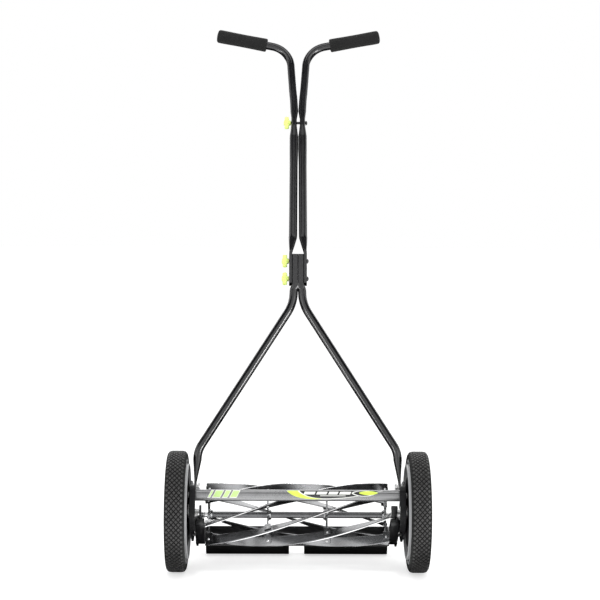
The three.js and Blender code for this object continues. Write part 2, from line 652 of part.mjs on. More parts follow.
function grip() {
  const [x0, up0] = GRIP.inner;
  const run = new THREE.Vector2(GRIP.outer[0] - x0, GRIP.outer[1] - up0);
  const length = run.length();
  const sleeve = turned([
    [length - 5, 0], [length - 5, GRIP.bore], [0, GRIP.bore], [0, GRIP.radius - 1.5], [1.5, GRIP.radius],
    [length - 8, GRIP.radius], [length - 2.5, GRIP.radius - 2.5], [length, GRIP.radius - 7], [length, 0],
  ], 16);
  return sleeve.rotateY(-run.angle()).translate(x0, 0, up0);
}

// A winged knob, listed from the tube's side outwards.
function knob({ up, reach }) {
  const start = -(reach + GAP);
  const [stemEnd, bodyEnd] = [start - 4, start - 16.5];
  const wings = beltOutline([[0, -11.3, 4], [0, 0, 7.5], [0, 11.3, 4]]);
  const body = joined(rod(stemEnd - 0.5, start, 6), plate(wings, bodyEnd, stemEnd));
  const bore = rod(start - 11, start + 1, HANDLE_BOLT.radius + GAP);
  return cut(body, bore).translate(0, 0, up);
}

function handleBolt({ up, reach }) {
  const { radius, head, headThickness } = HANDLE_BOLT;
  return bolt(-reach - 10.5, reach, reach + headThickness, radius, head, 0, up);
}

const lowerHoles = CLAMPS.slice(0, 2).map(({ up }) => crossHole(up, HANDLE_BOLT.radius));
const upperHoles = CLAMPS.map(({ up }) => crossHole(up, HANDLE_BOLT.radius));
const lowerTube = cut(bentTube(LOWER_TUBE), crossHole(0, POST.radius), ...lowerHoles);
addPair('lower_tube', lowerTube, BLACK_PAINT, handle);
addPair('upper_tube', cut(bentTube(UPPER_TUBE), ...upperHoles), BLACK_PAINT, handle);
addPair('grip', grip(), FOAM, handle);
for (const clamp of CLAMPS) {
  add(`knob_${clamp.name}`, knob(clamp), LIME_PLASTIC, handle);
  add(`handle_bolt_${clamp.name}`, handleBolt(clamp), BRIGHT_STEEL, handle);
}

handle.position.set(0, PIVOT.y, PIVOT.z);
handle.rotation.x = -HANDLE_LEAN;
mower.position.set(0, -MIDDLE_Y, AXLE_HEIGHT);

export default mower;
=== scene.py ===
import math

import bmesh
import bpy
import numpy as np
from mathutils import Matrix, Vector


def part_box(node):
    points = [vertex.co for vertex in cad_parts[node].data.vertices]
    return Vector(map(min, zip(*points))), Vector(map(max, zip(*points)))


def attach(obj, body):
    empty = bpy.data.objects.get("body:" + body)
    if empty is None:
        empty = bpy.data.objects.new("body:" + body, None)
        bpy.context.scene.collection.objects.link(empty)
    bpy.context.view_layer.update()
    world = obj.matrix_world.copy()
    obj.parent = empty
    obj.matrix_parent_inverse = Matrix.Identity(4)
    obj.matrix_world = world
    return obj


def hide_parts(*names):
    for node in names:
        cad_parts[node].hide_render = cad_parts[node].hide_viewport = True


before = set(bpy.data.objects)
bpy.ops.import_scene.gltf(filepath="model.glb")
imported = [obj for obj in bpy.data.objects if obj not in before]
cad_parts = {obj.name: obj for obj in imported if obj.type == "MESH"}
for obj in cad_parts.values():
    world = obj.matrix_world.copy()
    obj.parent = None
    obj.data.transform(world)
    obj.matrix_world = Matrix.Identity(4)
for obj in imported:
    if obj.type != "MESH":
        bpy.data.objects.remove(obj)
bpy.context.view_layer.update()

MM = 0.001
CLEARANCE = 0.3


def linked(name, data):
    """A new object in the scene."""
    thing = bpy.data.objects.new(name, data)
    bpy.context.scene.collection.objects.link(thing)
    return thing


# Places taken from the frame, in millimetres from the wheel axle line
def middle(node):
    low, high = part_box(node)
    return (low + high) / 2


AXLE = middle("wheel_bolt_right")


def from_axle(node):
    place = (middle(node) - AXLE) / MM
    return place.y, place.z


def span(node):
    """How far a node reaches along X, in millimetres."""
    low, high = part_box(node)
    return low.x / MM, high.x / MM


REEL = from_axle("reel_shaft")
TIE_BAR = from_axle("tie_bar")
PIVOT = from_axle("handle_post_right")
ROLLERS = from_axle("roller_axle")
BRACKET_PIVOT = from_axle("bracket_bolt_right")
HEIGHT_BOLT = from_axle("height_bolt_right")
CUTTER_PIVOT = from_axle("cutter_bolt_right")
HANDLE_LEAN = math.radians(20)


# Parts: (vertices, faces, a material number for each face)
def combined(*parts):
    vertices, faces, numbers = [], [], []
    count = 0
    for points, polygons, materials in parts:
        vertices.append(np.asarray(points, float))
        faces += [tuple(i + count for i in polygon) for polygon in polygons]
        numbers += list(materials)
        count += len(points)
    return np.vstack(vertices), faces, numbers


def outward(part):
    """Turns every face round if the closed part faces inwards."""
    vertices, faces, numbers = part
    volume = 0.0
    for face in faces:
        a = vertices[face[0]]
        for i in range(1, len(face) - 1):
            volume += np.dot(a, np.cross(vertices[face[i]], vertices[face[i + 1]]))
    if volume < 0:
        faces = [face[::-1] for face in faces]
    return vertices, faces, numbers


def solid(vertices, faces, number=0):
    return outward((np.array(vertices), faces, [number] * len(faces)))


def mirrored(part):
    vertices, faces, numbers = part
    return vertices * (-1, 1, 1), [face[::-1] for face in faces], numbers


def moved(part, x=0.0, y=0.0, z=0.0):
    return part[0] + (x, y, z), part[1], part[2]


def transformed(part, matrix):
    rotation = np.array(matrix.to_3x3())
    return part[0] @ rotation.T + np.array(matrix.translation), part[1], part[2]


def aimed(part, place, direction):
    """Moves a part drawn along +X so that it starts at a place and points along a direction."""
    turn = Vector((1, 0, 0)).rotation_difference(Vector(direction)).to_matrix().to_4x4()
    return transformed(part, Matrix.Translation(place) @ turn)


def in_handle(part):
    """From the upright handle's own place to the leaning handle."""
    lean = Matrix.Rotation(-HANDLE_LEAN, 4, "X")
    return transformed(part, Matrix.Translation((0, *PIVOT)) @ lean)


def from_bmesh(bm, number=0):
    bm.verts.index_update()
    vertices = np.array([tuple(v.co) for v in bm.verts])
    faces = [tuple(v.index for v in face.verts) for face in bm.faces]
    bm.free()
    return vertices, faces, [number] * len(faces)


def to_bmesh(part):
    bm = bmesh.new()
    corners = [bm.verts.new(tuple(point)) for point in part[0]]
    for face in part[1]:
        bm.faces.new([corners[i] for i in face])
    return bm


def softened(part, width, segments=2, sharper_than=30):
    """Rounds the sharp edges of a part."""
    bm = to_bmesh(part)
    limit = math.radians(sharper_than)
    edges = [e for e in bm.edges if e.is_manifold and e.calc_face_angle() > limit]
    bmesh.ops.bevel(bm, geom=edges, offset=width, segments=segments, affect="EDGES",
                    profile=0.5, clamp_overlap=True)
    return from_bmesh(bm, part[2][0])


def rounded(points, radius, closed=False, steps=4):
    """Rounds the corners of a line of points; a point's own third number is used first."""
    out = []
    count = len(points)
    for i, point in enumerate(points):
        here = Vector(point[:2])
        if not closed and i in (0, count - 1):
            out.append(tuple(here))
            continue
        before = Vector(points[i - 1][:2]) - here
        after = Vector(points[(i + 1) % count][:2]) - here
        reach = point[2] if len(point) > 2 else radius
        reach = min(reach, 0.48 * before.length, 0.48 * after.length)
        if reach < 1e-3:
            out.append(tuple(here))
            continue
        start, end = here + before.normalized() * reach, here + after.normalized() * reach
        for k in range(steps + 1):
            t = k / steps
            out.append(tuple(start * (1 - t) ** 2 + here * (2 * t * (1 - t)) + end * t ** 2))
    return out


def lathe(outline, segments=64, number=0, y=0.0, z=0.0):
    """Turns a list of (x, radius) about a line along X. A radius of 0 closes an end."""
    loop_closed = tuple(outline[0]) == tuple(outline[-1])
    profile = outline[:-1] if loop_closed else outline
    angles = [2 * math.pi * k / segments for k in range(segments)]
    vertices, rings = [], []
    for x, radius in profile:
        if radius < 1e-6:
            rings.append([len(vertices)] * segments)
            vertices.append((x, y, z))
            continue
        rings.append([len(vertices) + k for k in range(segments)])
        vertices += [(x, y + radius * math.cos(a), z + radius * math.sin(a)) for a in angles]
    faces = []
    pairs = list(zip(rings, rings[1:])) + ([(rings[-1], rings[0])] if loop_closed else [])
    for ring, following in pairs:
        for k in range(segments):
            n = (k + 1) % segments
            corners = [ring[k], ring[n], following[n], following[k]]
            unique = list(dict.fromkeys(corners))
            if len(unique) > 2:
                faces.append(tuple(unique))
    return solid(vertices, faces, number)


def turned(outline, radius, segments, place=(0.0, 0.0)):
    """Turns an outline back to its first point, with its other corners rounded."""
    return lathe(rounded(outline, radius) + [outline[0]], segments, 0, *place)


def turned_loop(outline, radius, segments, steps=4):
    """Turns a closed outline with every corner rounded."""
    profile = rounded(outline, radius, closed=True, steps=steps)
    return lathe(profile + [profile[0]], segments)


def band(first, second, count):
    """The faces between two rings of corners, given the number of each ring's first corner."""
    return [(first + i, second + i, second + (i + 1) % count, first + (i + 1) % count)
            for i in range(count)]


def prism(section, x0, x1):
    """A closed (y, z) section drawn out along X."""
    count = len(section)
    vertices = [(x, *point) for x in (x0, x1) for point in section]
    faces = [tuple(range(count)), tuple(range(2 * count - 1, count - 1, -1))]
    faces += band(0, count, count)
    return solid(vertices, faces)


def plate(loops, x0, x1, edge=0.4, number=0):
    """A flat piece across X with rounded edges: the first loop is its outline, the rest holes."""
    curve = bpy.data.curves.new("outline", "CURVE")
    curve.dimensions = "2D"
    curve.fill_mode = "BOTH"
    curve.extrude = (x1 - x0) / 2 - edge
    curve.bevel_depth = edge
    curve.bevel_resolution = 1
    curve.offset = -edge
    for loop in loops:
        spline = curve.splines.new("POLY")
        spline.points.add(len(loop) - 1)
        spline.points.foreach_set("co", [c for y, z in loop for c in (y, z, 0, 1)])
        spline.use_cyclic_u = True
    drawing = linked("outline", curve)
    depsgraph = bpy.context.evaluated_depsgraph_get()
    mesh = bpy.data.meshes.new_from_object(drawing.evaluated_get(depsgraph))
    bm = bmesh.new()
    bm.from_mesh(mesh)
    bmesh.ops.remove_doubles(bm, verts=bm.verts, dist=0.005)
    bmesh.ops.recalc_face_normals(bm, faces=bm.faces)
    bpy.data.objects.remove(drawing)
    bpy.data.curves.remove(curve)
    bpy.data.meshes.remove(mesh)
    vertices, faces, numbers = from_bmesh(bm, number)
    across = np.stack([vertices[:, 2] + (x0 + x1) / 2, vertices[:, 0], vertices[:, 1]], axis=1)
    return outward((across, faces, numbers))


def circle(radius, y=0.0, z=0.0, sides=48):
    return [(y + radius * math.cos(2 * math.pi * k / sides),
             z + radius * math.sin(2 * math.pi * k / sides)) for k in range(sides)]


def belt(discs):
    """The outline of a belt stretched round discs (y, z, radius)."""
    points = sorted(p for y, z, radius in discs for p in circle(radius, y, z, 72))

    def half(ordered):
        hull = []
        for p in ordered:
            while len(hull) > 1 and ((hull[-1][0] - hull[-2][0]) * (p[1] - hull[-2][1])
                                     - (hull[-1][1] - hull[-2][1]) * (p[0] - hull[-2][0])) <= 1e-9:
                hull.pop()
            hull.append(p)
        return hull[:-1]

    return half(points) + half(points[::-1])


THREAD_PITCH, THREAD_DEPTH = 1.25, 0.55


def thread(x0, x1, radius):
    """A threaded shank, drawn as a row of ridges."""
    turns = max(1, int(abs(x1 - x0) / THREAD_PITCH))
    step = (x1 - x0) / turns
    outline = [(x0, 0), (x0, radius - THREAD_DEPTH)]
    for i in range(turns):
        outline += [(x0 + (i + 0.5) * step, radius), (x0 + (i + 1) * step, radius - THREAD_DEPTH)]
    return lathe(outline + [(x1, 0)], 24)


def hexagon_head(x0, x1, radius):
    """A flanged hexagon head with its corners turned down."""
    toward = 1 if x1 > x0 else -1
    flange = lathe(rounded([(x0, 0), (x0, radius * 1.16), (x0 + toward * 1.1, radius * 1.1),
                            (x0 + toward * 1.5, radius * 0.8), (x0 + toward * 1.5, 0)], 0.3), 32)
    levels = [(x0 + toward * 1.0, 0.97), (x1 - toward * 0.9, 0.97), (x1, 0.8)]
    vertices = [(x, radius * s * math.cos(math.pi * k / 3), radius * s * math.sin(math.pi * k / 3))
                for x, s in levels for k in range(6)]
    faces = [tuple(range(6)), tuple(range(17, 11, -1))]
    faces += band(0, 6, 6) + band(6, 12, 6)
    return combined(flange, softened(solid(vertices, faces), 0.35))


def dome(radius, height, segments=20, number=0):
    """A low round head standing on x = 0 and rising along +X."""
    steps = 5
    arc = [(height * math.sin(math.pi / 2 * k / steps), radius * math.cos(math.pi / 2 * k / steps))
           for k in range(steps)]
    return lathe([(-0.3, 0), (-0.3, radius), *arc, (height, 0)], segments, number)


# Paint and metal
def nodes_of(name):
    """A new material, with its node tree and its shader."""
    made = bpy.data.materials.new(name)
    made.use_nodes = True
    tree = made.node_tree
    return made, tree, tree.nodes["Principled BSDF"]


def put(node, **values):
    """Sets sockets by name, with _ for a space."""
    for name, value in values.items():
        node.inputs[name.replace("_", " ")].default_value = value


def noise(tree, scale, detail=3.0, stretch=(1, 1, 1), kind="ShaderNodeTexNoise"):
    """Noise of so many grains to the metre, in the piece's own coordinates."""
    where = tree.nodes.new("ShaderNodeTexCoord")
    mapping = tree.nodes.new("ShaderNodeMapping")
    mapping.inputs["Scale"].default_value = stretch
    texture = tree.nodes.new(kind)
    texture.inputs["Scale"].default_value = scale
    if kind == "ShaderNodeTexNoise":
        texture.inputs["Detail"].default_value = detail
    tree.links.new(where.outputs["Object"], mapping.inputs["Vector"])
    tree.links.new(mapping.outputs["Vector"], texture.inputs["Vector"])
    return texture.outputs["Fac" if kind == "ShaderNodeTexNoise" else "Distance"]


def ramp(tree, value, stops):
    node = tree.nodes.new("ShaderNodeValToRGB")
    elements = node.color_ramp.elements
    while len(elements) < len(stops):
        elements.new(0.5)
    for element, (place, color) in zip(elements, stops):
        element.position = place
        element.color = (*color, 1)
    tree.links.new(value, node.inputs["Fac"])
    return node.outputs["Color"]


def spread(tree, value, low, high, start=0.3, end=0.7):
    node = tree.nodes.new("ShaderNodeMapRange")
    for name, number in (("From Min", start), ("From Max", end), ("To Min", low), ("To Max", high)):
        node.inputs[name].default_value = number
    tree.links.new(value, node.inputs["Value"])
    return node.outputs["Result"]


def bump(tree, shader, value, strength, height_mm, below=None):
    node = tree.nodes.new("ShaderNodeBump")
    node.inputs["Strength"].default_value = strength
    node.inputs["Distance"].default_value = height_mm * MM
    tree.links.new(value, node.inputs["Height"])
    if below is not None:
        tree.links.new(below, node.inputs["Normal"])
    tree.links.new(node.outputs["Normal"], shader.inputs["Normal"])
    return node.outputs["Normal"]


def finish(name, dark, light, roughness, metallic=0.0, patch=18, grain=900, grain_mm=0.03,
           stretch=(1, 1, 1), coat=0.0, specular=0.5, sheen=0.0, extra=None):
    """A surface that varies in colour and gloss in patches, with a fine grain."""
    made, tree, shader = nodes_of(name)
    patches = noise(tree, patch, 5)
    fine = noise(tree, grain, 4, stretch)
    both = tree.nodes.new("ShaderNodeMath")
    both.operation = "MULTIPLY_ADD"
    both.inputs[1].default_value = 0.5
    tree.links.new(patches, both.inputs[0])
    half_fine = spread(tree, fine, 0.0, 0.5, 0.0, 1.0)
    tree.links.new(half_fine, both.inputs[2])
    mixed = both.outputs["Value"]
    tree.links.new(ramp(tree, mixed, [(0.36, dark), (0.64, light)]), shader.inputs["Base Color"])
    tree.links.new(spread(tree, mixed, *roughness, 0.35, 0.65), shader.inputs["Roughness"])
    put(shader, Metallic=metallic, Specular_IOR_Level=specular, Coat_Weight=coat,
        Coat_Roughness=0.12, Sheen_Weight=sheen)
    normal = bump(tree, shader, fine, 0.6, grain_mm)
    if extra is not None:
        extra(tree, shader, normal)
    return made


def ink(name, dark, light):
    """A thin layer of print."""
    return finish(name, dark, light, (0.3, 0.42), patch=60, grain=2200, grain_mm=0.005)


def foam_cells(tree, shader, normal):
    cells = noise(tree, 620, kind="ShaderNodeTexVoronoi")
    bump(tree, shader, cells, 0.9, 0.35, normal)


def cast_dimples(tree, shader, normal):
    bump(tree, shader, noise(tree, 260, 2), 0.5, 0.12, normal)


BLACK_PAINT = finish("black_enamel", (0.004, 0.004, 0.005), (0.009, 0.009, 0.01), (0.13, 0.2),
                     grain=1400, grain_mm=0.015, coat=0.15)
PLATE_PAINT = finish("satin_black_enamel", (0.003, 0.003, 0.004), (0.008, 0.008, 0.009), (0.36, 0.5),
                     grain=1400, grain_mm=0.02, specular=0.22)
CAST_PAINT = finish("black_enamel_on_casting", (0.004, 0.004, 0.005), (0.01, 0.01, 0.011), (0.3, 0.44),
                    grain=1100, grain_mm=0.03, extra=cast_dimples)
TIE_PAINT = finish("grey_metallic_enamel", (0.19, 0.192, 0.195), (0.25, 0.252, 0.255), (0.24, 0.34),
                   metallic=0.7, grain=2600, grain_mm=0.01, coat=0.3)
ZINC = finish("zinc_plate", (0.5, 0.505, 0.52), (0.74, 0.74, 0.73), (0.2, 0.42), metallic=1.0, patch=60,
              grain=1500, grain_mm=0.015, stretch=(0.25, 1, 1))
BLACK_STEEL = finish("blackened_steel", (0.02, 0.02, 0.021), (0.05, 0.05, 0.052), (0.3, 0.45),
                     metallic=0.8, patch=80, grain=1600, grain_mm=0.015)
BLADE_STEEL = finish("tempered_blade_steel", (0.15, 0.152, 0.156), (0.23, 0.232, 0.236), (0.18, 0.26),
                     metallic=1.0, patch=14, grain=900, grain_mm=0.004, stretch=(0.05, 1, 1))
GROUND_EDGE = finish("ground_edge", (0.66, 0.66, 0.67), (0.88, 0.88, 0.88), (0.18, 0.32), metallic=1.0,
                     patch=70, grain=2400, grain_mm=0.012, stretch=(1, 0.1, 0.1))
SHAFT_STEEL = finish("painted_shaft", (0.09, 0.091, 0.095), (0.14, 0.141, 0.145), (0.2, 0.3),
                     metallic=0.9, patch=30, grain=900, grain_mm=0.008, stretch=(1, 0.3, 0.3))
# Near-black carcass rubber, kept darker than the tread blocks so that the grooves between them read as
# painted shade.
TREAD_BASE = finish("tyre_rubber", (0.003, 0.003, 0.003), (0.007, 0.007, 0.007), (0.6, 0.8), patch=30,
                    grain=1500, grain_mm=0.06, specular=0.2)
# Tread blocks, lighter than the carcass: partly wear, partly a painted sheen on the blocks.
TREAD_WEAR_AND_SHEEN = finish("worn_tread_and_painted_sheen", (0.01, 0.01, 0.01), (0.05, 0.049, 0.048), (0.4, 0.65), patch=160,
                   grain=1700, grain_mm=0.06, specular=0.4)
WHEEL_PLASTIC = finish("grey_wheel_plastic", (0.3, 0.305, 0.31), (0.39, 0.395, 0.4), (0.28, 0.42),
                       grain=1300, grain_mm=0.02)
BLACK_PLASTIC = finish("black_plastic", (0.002, 0.002, 0.002), (0.005, 0.005, 0.005), (0.45, 0.6),
                       grain=1200, grain_mm=0.04, specular=0.25)
FOAM = finish("grip_foam", (0.004, 0.004, 0.004), (0.012, 0.012, 0.012), (0.85, 0.98), patch=45,
              grain=1800, grain_mm=0.08, specular=0.25, sheen=0.05, extra=foam_cells)
LIME = finish("lime_plastic", (0.62, 0.78, 0.16), (0.76, 0.9, 0.26), (0.3, 0.45), patch=90, grain=1500,
              grain_mm=0.03)
LIME_INK = ink("lime_print", (0.6, 0.8, 0.07), (0.72, 0.9, 0.12))
SOFT_LIME_INK = ink("pale_lime_print", (0.5, 0.74, 0.24), (0.62, 0.84, 0.34))
PALE_INK = ink("pale_print", (0.78, 0.8, 0.76), (0.88, 0.9, 0.86))
BLACK_INK = ink("black_print", (0.01, 0.01, 0.011), (0.018, 0.018, 0.019))


# Making the pieces
def piece(name, part, body, materials, stands_for=(), sharp=32):
    """Puts a part, in millimetres from the axle, into the scene and onto its body."""
    mesh = bpy.data.meshes.new(name)
    mesh.from_pydata((part[0] * MM + (0, AXLE.y, AXLE.z)).tolist(), [], part[1])
    for made in materials:
        mesh.materials.append(made)
    mesh.polygons.foreach_set("material_index", part[2])
    mesh.polygons.foreach_set("use_smooth", [True] * len(mesh.polygons))
    mesh.validate()
    mesh.update()
    mesh.set_sharp_from_angle(angle=math.radians(sharp))
    thing = linked(name, mesh)
    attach(thing, body)
    if stands_for:
        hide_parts(*stands_for)
    return thing


def finished(node, part, body, materials, sharp=32):
    """A piece in place of the CAD node of that name."""
    return piece(f"{node}_finished", part, body, materials, [node], sharp)


SIDES = (("right", lambda part: part), ("left", mirrored))


def pair(node, part, body, materials, sharp=32):
    """A right-hand piece and its mirror image, each in place of its CAD node."""
    for side, placed in SIDES:
        finished(f"{node}_{side}", placed(part), body.format(side=side), materials, sharp)


# Wheels
TYRE_IN, TYRE_OUT = span("tyre_right")
TREAD_RADIUS = 133.0
TREAD_DEPTH = 2.4
TYRE_SEAT = 116.0


def tyre_carcass():
    half = [(0.5, TYRE_SEAT), (0.0, 119.0), (0.9, 120.4), (0.9, 122.6), (0.3, 123.6), (1.2, 127.4),
            (4.0, 129.9), (8.5, 131.2), (14.0, TREAD_RADIUS - TREAD_DEPTH)]
    outline = [(TYRE_IN + inset, radius) for inset, radius in half]
    outline += [(TYRE_OUT - inset, radius) for inset, radius in half[::-1]]
    return turned_loop(outline, 1.2, 144, steps=3)


def crown(x):
    """The radius that the tread blocks reach at x."""
    inset = min(x - TYRE_IN, TYRE_OUT - x)
    drop = max(0.0, 13.0 - inset)
    return TREAD_RADIUS - 0.0165 * drop ** 2 - 0.00075 * drop ** 3


def tread_blocks():
    """Rows of diamond blocks, standing in the carcass."""
    around, rows = 72, 4
    first, last = TYRE_IN + 1.6, TYRE_OUT - 1.6
    across = (last - first) / rows
    vertices, faces = [], []
    for half_step in (0, 1):
        for row in range(rows - half_step):
            x = first + across * (row + 0.5 + 0.5 * half_step)
            for i in range(around):
                angle = 2 * math.pi * (i + 0.5 * half_step) / around
                base = len(vertices)
                for size, lift in ((0.40, -TREAD_DEPTH - 0.9), (0.33, -0.4), (0.22, 0.0)):
                    for dx, da in ((1, 0), (0, 1), (-1, 0), (0, -1)):
                        px = x + dx * size * across
                        a = angle + da * size * 2 * math.pi / around
                        r = crown(min(max(px, TYRE_IN), TYRE_OUT)) + lift
                        vertices.append((px, r * math.cos(a), r * math.sin(a)))
                faces.append(tuple(base + 8 + k for k in range(4)))
                faces.append(tuple(base + 3 - k for k in range(4)))
                faces += [(low + k, low + (k + 1) % 4, low + 4 + (k + 1) % 4, low + 4 + k)
                          for low in (base, base + 4) for k in range(4)]
    # Every block face takes the second material: tread wear with a painted sheen.
    return solid(vertices, faces, 1)


pair("tyre", combined(tyre_carcass(), tread_blocks()), "drive_wheel_{side}",
     [TREAD_BASE, TREAD_WEAR_AND_SHEEN], sharp=28)

GEAR_MODULE, RING_TEETH, PRESSURE = 3, 48, math.radians(24)
RING_OUTER, RING_X = 84, (244.5, 263)
HUB = {"bore": 6.65, "radius": 20, "x0": 244, "x1": 281}
WEB = (262, 267)
DRUM = {"x0": 239, "inner": 98, "outer": 104.5}
RIM = {"x0": TYRE_IN + 1, "x1": 286.2, "inner": 109.5, "outer": 115.4}
RIBS = {"count": 6, "x1": 276, "thickness": 9}


def ring_gear_teeth():
    pitch_radius = GEAR_MODULE * RING_TEETH / 2
    base = pitch_radius * math.cos(PRESSURE)
    direction = math.atan2(REEL[1], REEL[0])
    loop = []

    def half_angle(radius):
        pressure = math.acos(base / max(radius, base))
        involute = math.tan(PRESSURE) - PRESSURE - math.tan(pressure) + pressure
        return math.pi * GEAR_MODULE / 4 / pitch_radius + involute

    radii = [pitch_radius - 0.8 * GEAR_MODULE, pitch_radius, pitch_radius + 1.25 * GEAR_MODULE]
    for tooth in range(RING_TEETH):
        centre = direction + 2 * math.pi * tooth / RING_TEETH
        flank = [(r, half_angle(r)) for r in radii]
        for r, a in [(r, centre - h) for r, h in flank] + [(r, centre + h) for r, h in flank[::-1]]:
            loop.append((r * math.cos(a), r * math.sin(a)))
    return plate([circle(RING_OUTER, sides=96), loop], *RING_X, edge=0.15)


def wheel():
    outline = [
        (HUB["x0"], HUB["bore"]), (HUB["x0"], HUB["radius"], 1.2), (WEB[0], HUB["radius"], 3),
        (WEB[0], DRUM["inner"], 2), (DRUM["x0"], DRUM["inner"], 1.0),
        (DRUM["x0"], DRUM["outer"], 1.6), (WEB[0] - 6, DRUM["outer"], 2),
        (WEB[0], RIM["inner"], 2), (RIM["x0"], RIM["inner"], 0.8), (RIM["x0"], RIM["outer"], 1.2),
        (RIM["x1"], RIM["outer"], 1.2), (RIM["x1"], RIM["inner"], 1.2),
        (WEB[1], RIM["inner"] - 1, 4), (WEB[1], HUB["radius"] + 1, 4),
        (HUB["x1"], HUB["radius"], 0.8), (HUB["x1"], HUB["bore"], 0.3),
    ]
    parts = [turned_loop(outline, 1, 128), ring_gear_teeth()]
    for index in range(RIBS["count"]):
        half = RIBS["thickness"] / 2
        inner, outer = HUB["radius"] - 1, RIM["inner"] + 1
        section = [(inner, -half), (outer, -half - 1.5), (outer, half + 1.5), (inner, half)]
        box = softened(prism(section, WEB[1] - 1, RIBS["x1"]), 1.2, 3)
        turn = Matrix.Rotation(2 * math.pi * (index + 0.5) / RIBS["count"], 4, "X")
        parts.append(transformed(box, turn))
    return combined(*parts)


pair("wheel", wheel(), "drive_wheel_{side}", [WHEEL_PLASTIC])


def hub_cap():
    outer = [(282.2, 24.3), (283.4, 24.3, 0.6), (284.6, 21.4, 0.8), (285.9, 17.5, 1.5),
             (287, 14, 1.5), (286.4, 8.5, 0.8), (286.4, 0)]
    inner = [(285.0, 0), (285.0, 12.5, 1), (282.2, 20.4)]
    return lathe(rounded(outer, 0.6) + rounded(inner, 0.6) + [outer[0]], 64)


pair("hub_cap", hub_cap(), "drive_wheel_{side}", [BLACK_PLASTIC])

# Reel
BLADES = 7
REEL_RADIUS = 71
BLADE_INNER, BLADE_THICK, BLADE_HALF = 49, 3.0, 203
HELIX_LEAD, HELIX_START = 1222, 14
BLADE_WIDTH = REEL_RADIUS - BLADE_INNER
JOURNAL, SHAFT_RADIUS, SHOULDER = 5.6, 7.15, 199.5
RIVET = 9
SPIDERS = {f"spider_{i + 1}": x for i, x in enumerate((-197, -66, 66, 197))}


def blade_angle(x, index):
    return 2 * math.pi * (x - HELIX_START) / HELIX_LEAD - 2 * math.pi * index / BLADES


def on_reel(x, index, along, back):
    """A point of a blade: so far out from its inner edge, and so far behind its leading face."""
    y, z = -BLADE_INNER - along, back
    a = -blade_angle(x, index)
    return (x, REEL[0] + y * math.cos(a) - z * math.sin(a),
            REEL[1] + y * math.sin(a) + z * math.cos(a))


def wound(section, x0, x1, steps, index, bright=()):
    """A closed section wound along a blade; the sides in bright take the second material."""
    stations = np.linspace(x0, x1, steps + 1)
    vertices = [on_reel(x, index, along, back) for x in stations for along, back in section]
    count = len(section)
    faces = [tuple(range(count)), tuple(range(len(vertices) - 1, len(vertices) - 1 - count, -1))]
    numbers = [0, 0]
    for s in range(steps):
        faces += band(s * count, (s + 1) * count, count)
        numbers += [1 if i in bright else 0 for i in range(count)]
    return outward((np.array(vertices), faces, numbers))


def blade(index):
    chamfer = 0.5
    section = [(chamfer, 0), (BLADE_WIDTH - 1.2, 0), (BLADE_WIDTH, 0.05), (BLADE_WIDTH - 0.15, 1.7),
               (BLADE_WIDTH - 1.3, BLADE_THICK), (chamfer, BLADE_THICK),
               (0, BLADE_THICK - chamfer), (0, chamfer)]
    return wound(section, -BLADE_HALF, BLADE_HALF, 112, index, bright=(1, 2))


for index in range(BLADES):
    parts = [blade(index)]
    for x in SPIDERS.values():
        ahead = Vector(on_reel(x, index, RIVET, 0)) - Vector(on_reel(x, index, RIVET, 1))
        parts.append(aimed(dome(3.0, 1.5, number=2), on_reel(x, index, RIVET, 0), ahead))
    finished(f"blade_{index + 1}", combined(*parts), "reel",
             [BLADE_STEEL, GROUND_EDGE, ZINC])


def spider(x):
    """A stamped star with a dished middle and a tab bent along the back of each blade."""
    corners = []
    for arm in range(BLADES):
        centre = blade_angle(x, arm) + math.radians(2)
        for radius, turn, soft in ((15.5, 22, 6), (22, 11.5, 6), (46.4, 5.5, 1.5), (46.4, -5.5, 1.5),
                                   (22, -11.5, 6), (15.5, -22, 6)):
            a = centre + math.radians(turn)
            corners.append((REEL[0] - radius * math.cos(a), REEL[1] + radius * math.sin(a), soft))
    star = rounded(corners, 2, closed=True)
    inwards = -math.copysign(1, x)
    dish = turned([(x + inwards * 1.2, 7.4), (x + inwards * 1.2, 14.5, 2),
                   (x + inwards * 3.5, 11.5, 2), (x + inwards * 8, 10, 0.8),
                   (x + inwards * 8, 7.4)], 1, 48, REEL)
    parts = [plate([star, circle(7.45, *REEL)], x - 1.5, x + 1.5, 0.5), dish]
    near, far = BLADE_THICK + 0.4, BLADE_THICK + 2.9
    tab = [(-4.6, near), (13.6, near), (14, near + 0.4), (14, far - 0.4), (13.6, far), (-4.6, far),
           (-5, far - 0.4), (-5, near + 0.4)]
    for arm in range(BLADES):
        parts.append(wound(tab, x - 7, x + 7, 4, arm))
        behind = Vector(on_reel(x, arm, RIVET, 1)) - Vector(on_reel(x, arm, RIVET, 0))
        parts.append(aimed(dome(2.8, 1.4, number=1), on_reel(x, arm, RIVET, far), behind))
    return combined(*parts)


for node, x in SPIDERS.items():
    finished(node, spider(x), "reel", [BLADE_STEEL, ZINC])

SHAFT_END = span("reel_shaft")[1]


def shaft():
    tube = lathe(rounded([(-SHOULDER, 0), (-SHOULDER, SHAFT_RADIUS, 0.6),
                          (SHOULDER, SHAFT_RADIUS, 0.6), (SHOULDER, 0)], 0.5), 48, 0, *REEL)
    end = lathe(rounded([(SHOULDER - 1, 0), (SHOULDER - 1, JOURNAL), (206.5, JOURNAL),
                         (207.5, 7.0, 1.2), (212.0, 7.0, 1.6), (214.0, JOURNAL, 0.6),
                         (SHAFT_END, JOURNAL, 0.8), (SHAFT_END, 0)], 0.4), 40, 1, *REEL)
    return combined(tube, end, mirrored(end))


finished("reel_shaft", shaft(), "reel", [SHAFT_STEEL, ZINC])

# Cutter bar and bed knife
KNIFE = {"angle": math.radians(15), "clearance": 0.4, "relief": math.radians(8), "width": 34,
         "thickness": 3.0}
APRON_IN, APRON_OUT, APRON_TOP = 76, 79.5, 60
FLANGE = 3.5
EAR_X = (207, 225.5)
EAR_DISCS = [(24, -29, 9.5), (*CUTTER_PIVOT, 14), (100, -78, 13)]


